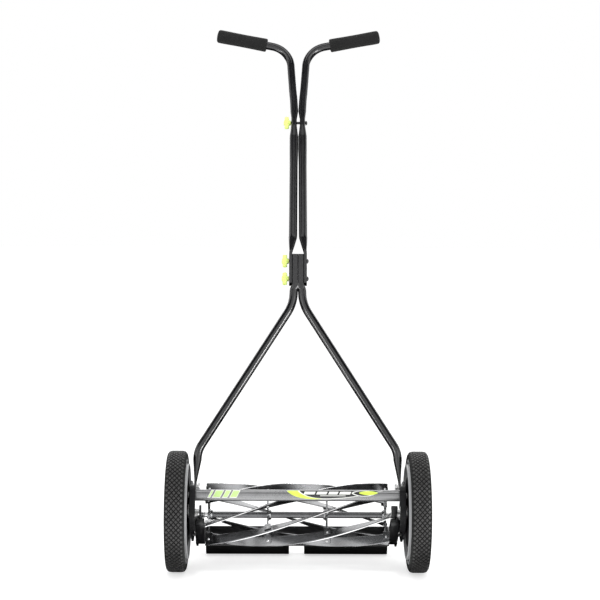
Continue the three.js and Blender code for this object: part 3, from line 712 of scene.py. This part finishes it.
def knife_point(back, below):
    """So far behind the knife's edge, and so far below its upper face."""
    edge = REEL_RADIUS + KNIFE["clearance"]
    slope = KNIFE["angle"] - KNIFE["relief"]
    return (REEL[0] + edge * math.sin(KNIFE["angle"]) + back * math.cos(slope)
            + below * math.sin(slope),
            REEL[1] - edge * math.cos(KNIFE["angle"]) + back * math.sin(slope)
            - below * math.cos(slope))


def bed_knife():
    width, thick = KNIFE["width"], KNIFE["thickness"]
    reach = EAR_X[0] - 0.5
    body = [(0.6, 0.0), (width - 0.5, 0.0), (width, 0.5), (width, thick - 0.5),
            (width - 0.5, thick), (4.6, thick), (0.0, 0.4), (0.0, 0.1)]
    vertices, faces, numbers = prism([knife_point(*p) for p in body], -reach, reach)
    for i, face in enumerate(faces):
        along = {vertex % len(body) for vertex in face}
        if len(face) == 4 and along <= {5, 6, 7, 0}:
            numbers[i] = 1
    screws = []
    down = Vector((0, *knife_point(0, 1))) - Vector((0, *knife_point(0, 0)))
    for i in range(7):
        place = (-180 + 60 * i, *knife_point(17, thick + 0.3 + FLANGE))
        screws.append(aimed(dome(5, 1.6, number=1), place, down))
    return combined((vertices, faces, numbers), *screws)


def arc_points(radius, from_degrees, to_degrees, steps=14):
    angles = [math.radians(from_degrees + (to_degrees - from_degrees) * i / steps)
              for i in range(steps + 1)]
    return [(REEL[0] + radius * math.sin(a), REEL[1] - radius * math.cos(a)) for a in angles]


def cutter_bar():
    below = KNIFE["thickness"] + CLEARANCE
    section = [
        knife_point(5, below), knife_point(5, below + FLANGE),
        knife_point(KNIFE["width"] + 8, below + FLANGE),
        *arc_points(APRON_OUT, 46, APRON_TOP), *arc_points(APRON_IN, APRON_TOP, 42),
        knife_point(KNIFE["width"] + 0.5, 0), knife_point(KNIFE["width"] + 0.5, below),
    ]
    bar = softened(prism(section, -207.5, 207.5), 0.5, 2, sharper_than=40)
    ear = plate([belt(EAR_DISCS)], *EAR_X, edge=1.4)
    pad = lathe(rounded([(225.3, 0), (225.3, 10.5), (226.6, 9.5, 0.5), (226.6, 0)], 0.4), 40, 0,
                *CUTTER_PIVOT)
    web = softened(prism([(36, -40), (41, -40), (60, -74), (52, -76)], 203.5, 207.5), 0.6)
    right = combined(ear, pad, web)
    return combined(bar, right, mirrored(right))


finished("bed_knife", bed_knife(), "frame", [ZINC, GROUND_EDGE])
finished("cutter_bar", cutter_bar(), "frame", [CAST_PAINT], sharp=40)

SCREW_X, SCREW_Y = 215.5, 24.0


def thumb_screw():
    """Upright on the Z axis, its flat thumb piece facing along X."""
    outline = rounded([(-7.7, 9, 3.4), (7.7, 9, 3.4), (7.0, -2, 4), (5.4, -16, 0.8),
                       (-5.4, -16, 0.8), (-7.0, -2, 4)], 1, closed=True, steps=6)
    paddle = plate([outline], -2.3, 2.3, edge=0.9, number=1)
    stand = Matrix.Rotation(-math.pi / 2, 4, "Y")
    collar = transformed(lathe(rounded([(-19, 0), (-19, 5, 0.5), (-16.5, 5, 0.8), (-14.8, 4, 0.8),
                                        (-14.8, 0)], 0.4), 32, 1), stand)
    shank = transformed(thread(-34, -18.6, 3.0), stand)
    return combined(shank, paddle, collar)


across_mower = transformed(thumb_screw(), Matrix.Rotation(math.pi / 2, 4, "Z"))
finished("adjusting_screw_right", moved(across_mower, SCREW_X, SCREW_Y), "gap_screw_right",
         [ZINC, BLACK_STEEL])
finished("adjusting_screw_left", moved(thumb_screw(), -SCREW_X, SCREW_Y), "gap_screw_left",
         [ZINC, BLACK_STEEL])

# Side plates and what is bolted to them
PLATE_IN, PLATE_OUT, LIP_X, LIP_THICK, LIP_BACK = 232.5, 237.0, 223.5, 3.0, -8.0
PLATE_DISCS = [(*TIE_BAR, 22), (*PIVOT, 14), (-22, 0, 30), (0, 0, 45), (*REEL, 34),
               (*BRACKET_PIVOT, 48)]
BOLT_HOLE, AXLE_HOLE, SHAFT_HOLE, POST_HOLE = 4.3, 6.65, 9.15, 6.3
LOCK_REACH = 36
SWING_DOWN, SWING_UP = 21, 29


def bracket_slot():
    y, z = BRACKET_PIVOT
    towards = math.atan2(HEIGHT_BOLT[1] - z, HEIGHT_BOLT[0] - y)
    low, high = towards - math.radians(SWING_DOWN), towards + math.radians(SWING_UP)

    def arc(cy, cz, radius, start, end, steps):
        return [(cy + radius * math.cos(start + (end - start) * k / steps),
                 cz + radius * math.sin(start + (end - start) * k / steps))
                for k in range(steps + 1)]

    def end_of(angle):
        return y + LOCK_REACH * math.cos(angle), z + LOCK_REACH * math.sin(angle)

    return (arc(y, z, LOCK_REACH + BOLT_HOLE, low, high, 20)
            + arc(*end_of(high), BOLT_HOLE, high, high + math.pi, 10)[1:]
            + arc(y, z, LOCK_REACH - BOLT_HOLE, high, low, 20)[1:]
            + arc(*end_of(low), BOLT_HOLE, low + math.pi, low + 2 * math.pi, 10)[1:-1])


def front_lip():
    """The lip turned inwards along the front edge, as a strip with rounded edges."""
    outline = belt(PLATE_DISCS)
    count = len(outline)
    front = [i for i in range(count) if outline[i][0] < LIP_BACK]
    start = next(i for i in front if outline[(i - 1) % count][0] >= LIP_BACK)
    run = [outline[(start + k) % count] for k in range(len(front))]
    vertices, faces = [], []
    ring = 6
    for k, (y, z) in enumerate(run):
        y0, z0 = run[max(k - 1, 0)]
        y1, z1 = run[min(k + 1, len(run) - 1)]
        normal = Vector((z1 - z0, y0 - y1)).normalized()
        if normal.x > 0 and k == len(run) // 2:
            normal.negate()
        inner = Vector((y, z)) - normal * LIP_THICK
        edge = Vector((y, z)) - normal * 0.8
        inner_edge = Vector((y, z)) - normal * (LIP_THICK - 0.8)
        for x, p in ((PLATE_IN + 1, (y, z)), (LIP_X + 0.8, (y, z)), (LIP_X, edge),
                     (LIP_X, inner_edge), (LIP_X + 0.8, inner), (PLATE_IN + 1, inner)):
            vertices.append((x, *p))
    for k in range(len(run) - 1):
        faces += [(k * ring + i, k * ring + (i + 1) % ring, (k + 1) * ring + (i + 1) % ring,
                   (k + 1) * ring + i) for i in range(ring)]
    faces += [tuple(range(ring))[::-1], tuple(range(len(vertices) - ring, len(vertices)))]
    return solid(vertices, faces)


def side_plate():
    holes = [circle(AXLE_HOLE), circle(SHAFT_HOLE, *REEL), circle(BOLT_HOLE, *TIE_BAR),
             circle(BOLT_HOLE, *CUTTER_PIVOT), circle(BOLT_HOLE, *BRACKET_PIVOT),
             circle(POST_HOLE, *PIVOT), bracket_slot()]
    body = plate([belt(PLATE_DISCS)] + holes, PLATE_IN, PLATE_OUT, edge=0.7)
    return combined(body, front_lip())


pair("side_plate", side_plate(), "frame", [PLATE_PAINT])


def bearing_housing():
    outline = [(217, 5.9), (217, 8.5, 0.4), (218.4, 9.2, 0.4), (218.4, 13.4, 1.2),
               (220.0, 14.6, 1.0), (229.2, 14.6, 0.8), (229.2, 19.5, 0.6), (232.2, 19.5, 0.4),
               (232.2, 5.9)]
    return turned(outline, 0.4, 56, REEL)


pair("bearing_housing", bearing_housing(), "frame", [ZINC])


def gear_cover():
    outline = [(241.5, 16.2), (241.5, 30, 2), (242.0, 33, 2), (241.5, 36, 2), (241.5, 72.5, 1.5),
               (242.3, 76.0, 0.5), (243.5, 76.0, 0.4), (243.5, 16.2)]
    return turned(outline, 0.5, 96)


pair("gear_cover", gear_cover(), "frame", [PLATE_PAINT])


TIE_RADIUS = 12.5


def tie_bar():
    end = PLATE_IN - CLEARANCE
    return lathe(rounded([(-end, 4.3), (-end, TIE_RADIUS, 0.9), (end, TIE_RADIUS, 0.9), (end, 4.3),
                          (end - 12, 4.3), (end - 12, 10.5), (12 - end, 10.5), (12 - end, 4.3)],
                         0.3, closed=True) + [(-end, 4.6)], 64, 0, *TIE_BAR)


def handle_post():
    return lathe(rounded([(216, 0), (216, 9, 2.2), (217.6, 10, 0.8), (220, 10, 0.5), (220, 6),
                          (230.5, 6), (230.5, 10, 0.3), (232.2, 10, 0.3), (232.2, 6), (237, 6, 0.4),
                          (237, 0)], 0.2), 40, 0, *PIVOT)


def side_bolt(node, y, z):
    """A bolt through a side plate, its head on the outside."""
    start, end = span(f"{node}_right")
    head = PLATE_OUT + CLEARANCE
    shank = thread(start, head + 0.5, 3.9)
    return moved(combined(shank, hexagon_head(head, end, 7.0)), 0, y, z)


def roller_bracket():
    tip, root = (*ROLLERS, 10), (*BRACKET_PIVOT, 11)
    holes = [circle(BOLT_HOLE, *BRACKET_PIVOT), circle(BOLT_HOLE, *HEIGHT_BOLT),
             circle(5.3, *ROLLERS)]
    return plate([belt([root, tip])] + holes, *span("roller_bracket_right"), edge=0.8)


finished("tie_bar", tie_bar(), "frame", [TIE_PAINT])
pair("handle_post", handle_post(), "frame", [ZINC])
for node, place, body in (("tie_bolt", TIE_BAR, "frame"), ("cutter_bolt", CUTTER_PIVOT, "frame"),
                          ("bracket_bolt", BRACKET_PIVOT, "frame"),
                          ("height_bolt", HEIGHT_BOLT, "roller_frame")):
    pair(node, side_bolt(node, *place), body, [ZINC])
pair("roller_bracket", roller_bracket(), "roller_frame", [PLATE_PAINT])

# Printed bands on the tie bar
PRINT_LIFT, PRINT_LEAN = 0.06, 7.0


def printed(x0, x1, low, high, number, layer):
    """A thin band wrapped on the bar: low and high give its edges in degrees up from the front."""
    steps, rings = max(8, int((x1 - x0) / 1.5)), 8
    radius = TIE_RADIUS + PRINT_LIFT * layer
    vertices, faces = [], []
    for i in range(steps + 1):
        u = i / steps
        x = x0 + (x1 - x0) * u
        bottom, top = low(u), high(u)
        for depth in (0.0, -0.05):
            for j in range(rings + 1):
                a = math.radians(bottom + (top - bottom) * j / rings)
                vertices.append((x, TIE_BAR[0] - (radius + depth) * math.cos(a),
                                 TIE_BAR[1] + (radius + depth) * math.sin(a)))
    row = 2 * (rings + 1)
    for i in range(steps):
        a, b = i * row, (i + 1) * row
        for j in range(rings):
            faces.append((a + j, b + j, b + j + 1, a + j + 1))
            c, d = a + rings + 1, b + rings + 1
            faces.append((c + j + 1, d + j + 1, d + j, c + j))
        faces.append((a, a + rings + 1, b + rings + 1, b))
        faces.append((a + rings, b + rings, b + 2 * rings + 1, a + 2 * rings + 1))
    for a in (0, steps * row):
        for j in range(rings):
            corners = (a + j, a + j + 1, a + rings + 2 + j, a + rings + 1 + j)
            faces.append(corners if a == 0 else corners[::-1])
    return solid(vertices, faces, number)


def slanted(x0, x1, bottom, top, number, layer):
    """A bar of print that leans to the right."""
    part = printed(x0, x1, lambda u: bottom, lambda u: top, number, layer)
    vertices = part[0].copy()
    height = vertices[:, 2] - TIE_BAR[1]
    vertices[:, 0] += PRINT_LEAN * height / TIE_RADIUS
    return vertices, part[1], part[2]


def lens(top, depth, peak):
    """Edges of a lens of print that hangs from a line round the bar's top, deepest at its peak."""
    def low(u):
        side = (peak - u) / peak if u < peak else (u - peak) / (1 - peak)
        return top - 1 - depth * max(0.0, 1 - side ** 2) ** (0.6 if u < peak else 1.0)
    return low, lambda u: top


def oval(centre, below, above, power):
    """Edges of a pointed oval of print."""
    def reach(u):
        return math.sin(math.pi * u) ** power
    return lambda u: centre - below * reach(u), lambda u: centre + above * reach(u)


def long_mark():
    ring_low, ring_high = oval(34, 33, 33, 0.6)
    layers = [
        printed(-24, 188, *lens(66, 95, 0.36), 1, 1),
        printed(-23.5, 96, *lens(66, 95, 0.5), 0, 2),
        printed(0, 187, *lens(66, 88, 0.3), 1, 3),
        printed(4, 184, *lens(66, 85, 0.3), 2, 4),
        *(slanted(x0, x1, 20, 50, 1, 5) for x0, x1 in ((10, 34), (38, 60), (64, 84), (88, 112))),
        slanted(48, 104, 4, 10, 1, 5),
        printed(118, 172, ring_low, ring_high, 1, 5),
        printed(121, 169, lambda u: ring_low(u) + 6, lambda u: ring_high(u) - 6, 2, 6),
        printed(134, 176, *oval(36, 22, 24, 0.7), 0, 7),
    ]
    return combined(*layers)


def short_mark():
    bars = [(-196, -190), (-186, -168), (-164, -152), (-148, -132)]
    parts = []
    for x0, x1 in bars:
        parts.append(slanted(x0, x1, -18, 72, 1, 1))
        parts.append(slanted(x0 + 1.2, x1 - 1.2, -10, 62, 0, 2))
    return combined(*parts)


piece("tie_bar_long_mark", long_mark(), "frame", [LIME_INK, PALE_INK, BLACK_INK])
piece("tie_bar_short_mark", short_mark(), "frame", [SOFT_LIME_INK, PALE_INK])

# Rollers
ROLLER_IN, ROLLER_OUT = span("rear_roller_right")
ROLLER_RADIUS = 27.5


def roller():
    r = ROLLER_RADIUS
    outline = [(ROLLER_IN, 5.3), (ROLLER_IN, 9, 0.6), (ROLLER_IN + 2.5, 10, 0.6),
               (ROLLER_IN + 2.5, 22.5, 0.8), (ROLLER_IN, 23.5, 0.6), (ROLLER_IN, r, 2.0),
               (ROLLER_IN + 5, r), (ROLLER_IN + 5.5, r - 0.35), (ROLLER_IN + 6, r),
               (ROLLER_OUT - 6, r), (ROLLER_OUT - 5.5, r - 0.35), (ROLLER_OUT - 5, r),
               (ROLLER_OUT, r, 2.0), (ROLLER_OUT, 23.5, 0.6), (ROLLER_OUT - 2.5, 22.5, 0.8),
               (ROLLER_OUT - 2.5, 10, 0.6), (ROLLER_OUT, 9, 0.6), (ROLLER_OUT, 5.3)]
    return turned(outline, 0.2, 96, ROLLERS)


pair("rear_roller", roller(), "roller_{side}", [BLACK_PLASTIC])
AXLE_END = span("roller_axle")[1]
roller_axle = lathe(rounded([(-AXLE_END, 0), (-AXLE_END, 5, 0.8), (AXLE_END, 5, 0.8),
                             (AXLE_END, 0)], 0.5), 32, 0, *ROLLERS)
finished("roller_axle", roller_axle, "roller_frame", [ZINC])

# Handle
# Tube sections: half the width, half the depth, and how square the corners are (2 is round)
ROUND = (9.5, 9.5, 2.0)
FLAT_END = (2.5, 13, 4.0)
SQUEEZED = (6.75, 10.6, 9.0)
STRAP = (3.5, 12.6, 8.0)
PINCHED = (7.1, 10.7, 2.4)
BULGED = (10.2, 9.4, 2.2)
# Corners of a tube: across, up, the radius of the bend (0: as soft as it fits), and the section
LOWER_TUBE = [
    (226.5, -13, 0, FLAT_END), (226.5, 10, 0, FLAT_END), (223, 64, 0, ROUND),
    (222.6, 82, 64, ROUND), (9.8, 426.4, 95, ROUND), (9.8, 456, 0, ROUND),
    (6.8, 471, 0, SQUEEZED), (6.8, 542.5, 0, SQUEEZED),
]
UPPER_TUBE = [
    (17.05, 472, 0, STRAP), (17.05, 547, 0, STRAP), (11.5, 590, 0, ROUND), (10.6, 765, 0, ROUND),
    (10.35, 806, 0, BULGED), (10.35, 838, 0, BULGED), (9.95, 865, 0, PINCHED),
    (9.95, 881, 0, PINCHED), (9.65, 904, 0, ROUND), (11.0, 931, 0, ROUND), (13.3, 956, 0, ROUND),
    (20.7, 1062.1, 56, ROUND), (187, 1095.9, 0, ROUND),
]
TUBE_WALL = 1.4


def tube_stations(corners):
    """Places along a bent tube, with a direction and a section at each."""
    places = [Vector(c[:2]) for c in corners]
    stations = []
    for i, (_, _, bend, section) in enumerate(corners):
        before = (places[i] - places[max(i - 1, 0)]).normalized()
        after = (places[min(i + 1, len(places) - 1)] - places[i]).normalized()
        if i in (0, len(corners) - 1):
            stations.append([(places[i], after if i == 0 else before, section)])
            continue
        angle = before.angle(after)
        if angle < 1e-4:
            stations.append([(places[i], before, section)])
            continue
        shortest = min((places[i] - places[i - 1]).length, (places[i + 1] - places[i]).length)
        radius = bend if bend else min(90, 0.3 * shortest / math.tan(angle / 2))
        reach = radius * math.tan(angle / 2)
        sign = 1 if before.x * after.y - before.y * after.x > 0 else -1
        start = places[i] - before * reach
        centre = start + Vector((-before.y, before.x)) * (sign * radius)
        steps = max(4, int(math.degrees(angle) / 3))
        run = []
        for k in range(steps + 1):
            swing = Matrix.Rotation(sign * angle * k / steps, 2)
            run.append((centre + swing @ (start - centre), swing @ before, section))
        stations.append(run)
    out = list(stations[0])
    for run in stations[1:]:
        (p0, d0, s0), (p1, d1, s1) = out[-1], run[0]
        gap = (p1 - p0).length
        pieces = max(1, int(gap / (3.0 if s0 != s1 else 40.0)))
        for k in range(1, pieces):
            t = k / pieces
            section = tuple(a + (b - a) * t for a, b in zip(s0, s1))
            out.append((p0.lerp(p1, t), d0.lerp(d1, t).normalized(), section))
        out += run
    return out


def bent_tube(corners, sides=36):
    """A round tube, bent along its corners and pressed flat where its sections say so."""
    stations = tube_stations(corners)
    vertices, faces = [], []
    for wall in (0.0, TUBE_WALL):
        for place, direction, (half_width, half_depth, power) in stations:
            width, depth = max(half_width - wall, 0.5), half_depth - wall
            for k in range(sides):
                a = 2 * math.pi * k / sides
                c, s = math.cos(a), math.sin(a)
                across = math.copysign(abs(c) ** (2 / power), c) * width
                out = math.copysign(abs(s) ** (2 / power), s) * depth
                vertices.append((place.x + across * direction.y, out,
                                 place.y - across * direction.x))
    count = len(stations)
    inner = count * sides
    for s in range(count - 1):
        for k in range(sides):
            n = (k + 1) % sides
            a, b = s * sides, (s + 1) * sides
            faces.append((a + k, a + n, b + n, b + k))
            faces.append((inner + b + k, inner + b + n, inner + a + n, inner + a + k))
    last = (count - 1) * sides
    for k in range(sides):
        n = (k + 1) % sides
        faces.append((k, inner + k, inner + n, n))
        faces.append((last + n, inner + last + n, inner + last + k, last + k))
    return solid(vertices, faces)


GRIP = {"inner": (76, 1073.3), "outer": (194.5, 1097.4), "radius": 15.8, "bore": 9.8}


def grip():
    start, end = Vector(GRIP["inner"]), Vector(GRIP["outer"])
    run = end - start
    length, radius = run.length, GRIP["radius"]
    outline = [(length - 5, 0), (length - 5, GRIP["bore"]), (0.4, GRIP["bore"]),
               (0, GRIP["bore"] + 0.5), (0, radius - 1.6, 1.5), (1.6, radius, 1.5)]
    swell = [(1.6 + (length - 7) * t, radius - 0.25 + 0.25 * math.cos(2 * math.pi * t))
             for t in np.linspace(0.06, 0.94, 12)]
    tip = [(length - 4, radius - 0.3, 2), (length - 1.2, radius - 2.6, 2),
           (length - 0.2, radius - 6.5, 2), (length, radius - 11, 2), (length, 0)]
    sleeve = lathe(rounded(outline + swell + tip, 0.3), 56)
    return in_handle(aimed(sleeve, (start.x, 0, start.y), (run.x, 0, run.y)))


CLAMPS = {"low": (485.4, 20.75), "middle": (528.0, 20.75), "top": (872.4, 17.6)}


def wing_outline():
    points = []
    for k in range(72):
        a = 2 * math.pi * k / 72
        lobe = abs(math.sin(a)) ** 3.0
        radius = 7.6 + 7.5 * lobe
        points.append((radius * math.cos(a), radius * math.sin(a)))
    return points


def knob(up, reach):
    """A winged knob on the left-hand side of the tubes."""
    start = -(reach + CLEARANCE)
    stem_end, body_end = start - 4, start - 16.5
    stem = lathe(rounded([(stem_end - 1, 0), (stem_end - 1, 6.2), (start - 0.8, 6.2, 0.5),
                          (start, 5.4, 0.3), (start, 3.4), (start - 2, 3.4), (start - 2, 0)], 0.3),
                 36, 0)
    wings = plate([wing_outline()], body_end + 2.0, stem_end, edge=2.4)
    hub = lathe(rounded([(body_end, 0), (body_end, 5.4, 1.6), (body_end + 3.5, 7.2, 1.5),
                         (stem_end - 0.5, 7.4, 1.0), (stem_end - 0.5, 0)], 0.8), 40)
    return in_handle(moved(combined(stem, wings, hub), 0, 0, up))


def handle_bolt(up, reach):
    """A round-headed bolt across the tubes."""
    head = moved(dome(5.5, 3.6, 28), reach + 0.35)
    shank = lathe([(-reach - 9, 0), (-reach - 9, 3.1), (reach + 0.5, 3.1), (reach + 0.5, 0)], 24)
    return in_handle(moved(combined(head, shank), 0, 0, up))


for node, corners in (("lower_tube", LOWER_TUBE), ("upper_tube", UPPER_TUBE)):
    pair(node, in_handle(bent_tube(corners)), "handle", [BLACK_PAINT])
for side, placed in SIDES:
    sleeve = finished(f"grip_{side}", placed(grip()), "handle", [FOAM])
for name, (up, reach) in CLAMPS.items():
    finished(f"knob_{name}", knob(up, reach), f"wing_knob_{name}", [LIME], sharp=45)
    finished(f"handle_bolt_{name}", handle_bolt(up, reach), "handle", [BLACK_STEEL])

# CAD pieces that are shown as they are
for node in ("wheel_bolt_left", "wheel_bolt_right", "pinion_left", "pinion_right"):
    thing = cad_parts[node]
    for part_slot in thing.material_slots:
        part_slot.material = ZINC

# Floor, light and camera
HALF_FLOOR = 30.0
floor_mesh = bpy.data.meshes.new("floor")
floor_mesh.from_pydata([(x * HALF_FLOOR, y * HALF_FLOOR, 0)
                        for x, y in ((-1, -1), (1, -1), (1, 1), (-1, 1))], [], [(0, 1, 2, 3)])
floor = linked("floor", floor_mesh)
floor_paint, _, floor_shader = nodes_of("studio_floor")
put(floor_shader, Base_Color=(0.55, 0.55, 0.55, 1), Roughness=0.6, Specular_IOR_Level=0.1,
    Emission_Color=(1, 1, 1, 1), Emission_Strength=0.6)
floor_mesh.materials.append(floor_paint)
floor.visible_glossy = False

world = bpy.data.worlds.new("studio")
world.use_nodes = True
put(world.node_tree.nodes["Background"], Color=(1, 1, 1, 1), Strength=1.0)
world.cycles_visibility.glossy = False
bpy.context.scene.world = world


def softbox(name, place, target, size, radiance):
    light = bpy.data.lights.new(name, "AREA")
    light.shape = "RECTANGLE"
    light.size, light.size_y = size
    light.energy = radiance * math.pi * size[0] * size[1]
    thing = linked(name, light)
    thing.location = place
    thing.rotation_euler = (Vector(target) - Vector(place)).to_track_quat("-Z", "Y").to_euler()
    thing.visible_camera = False


def reflector(name, corners, radiance):
    """A glowing card that shows only in shiny surfaces."""
    mesh = bpy.data.meshes.new(name)
    mesh.from_pydata(corners, [], [(0, 1, 2, 3)])
    glow, _, shader = nodes_of(name)
    put(shader, Base_Color=(0.8, 0.8, 0.8, 1), Emission_Color=(1, 1, 1, 1),
        Emission_Strength=radiance)
    mesh.materials.append(glow)
    card = linked(name, mesh)
    card.visible_camera = card.visible_diffuse = card.visible_shadow = False


def wide_card(name, half_width, lower, upper, radiance):
    """A card across the view, between a lower and an upper (y, z)."""
    reflector(name, [(-half_width, *lower), (half_width, *lower),
                     (half_width, *upper), (-half_width, *upper)], radiance)


def side_card(name, back, front, z0, z1, radiance):
    """An upright card between two places (x, y)."""
    reflector(name, [(*back, z0), (*front, z0), (*front, z1), (*back, z1)], radiance)


wide_card("front_wall", 4, (-6, 0), (-6, 2.2), 0.4)
wide_card("high_front_wall", 5, (-6, 2.2), (-5, 5.5), 0.5)
wide_card("front_floor", 3, (-5, 0.003), (-0.3, 0.003), 0.9)
wide_card("near_floor", 0.22, (-0.3, 0.003), (-0.13, 0.003), 1.5)
side_card("left_card", (-2.45, -1.75), (-2.15, -2.05), 0, 0.9, 16)
side_card("right_card", (2.45, -1.75), (2.15, -2.05), 0, 0.9, 36)
side_card("left_side", (-5, -5), (-5, 2), 1.2, 4, 0.42)
side_card("right_side", (5, -5), (5, 2), 1.2, 4, 0.42)
wide_card("back_wall", 3, (3, 1.1), (2.4, 4.5), 1.3)
softbox("overhead", (0, -0.3, 3.0), (0, 0, 0.3), (2.4, 1.6), 2.2)
for name, (x, y, z), (aim_x, aim_y, aim_z), size, radiance in (
        ("front", (2.4, -2.4, 1.5), (0, 0, 0.5), (1.5, 2.2), 1.6),
        ("back", (2.4, 2.2, 1.6), (0, 0, 0.4), (1.0, 1.8), 1.6),
        ("low", (1.1, -0.15, 0.05), (-0.15, 0.1, 0.5), (0.22, 0.7), 7.0)):
    for side, sign in (("left", -1), ("right", 1)):
        softbox(f"{name}_{side}", (sign * x, y, z), (sign * aim_x, aim_y, aim_z), size, radiance)

camera = linked("camera", bpy.data.cameras.new("camera"))
camera.data.sensor_width = 36
camera.data.lens = 100.21
camera.data.shift_x = 0.0037
camera.data.clip_end = 200
camera.location = (-0.035, AXLE.y - 3.6536, 0.7992)
yaw, pitch, roll = (math.radians(a) for a in (-0.52, 90 - 3.113, 0.3))
camera.rotation_euler = (Matrix.Rotation(yaw, 3, "Z") @ Matrix.Rotation(pitch, 3, "X")
                         @ Matrix.Rotation(roll, 3, "Z")).to_euler()
bpy.context.scene.camera = camera
bpy.context.scene.view_settings.view_transform = "Standard"
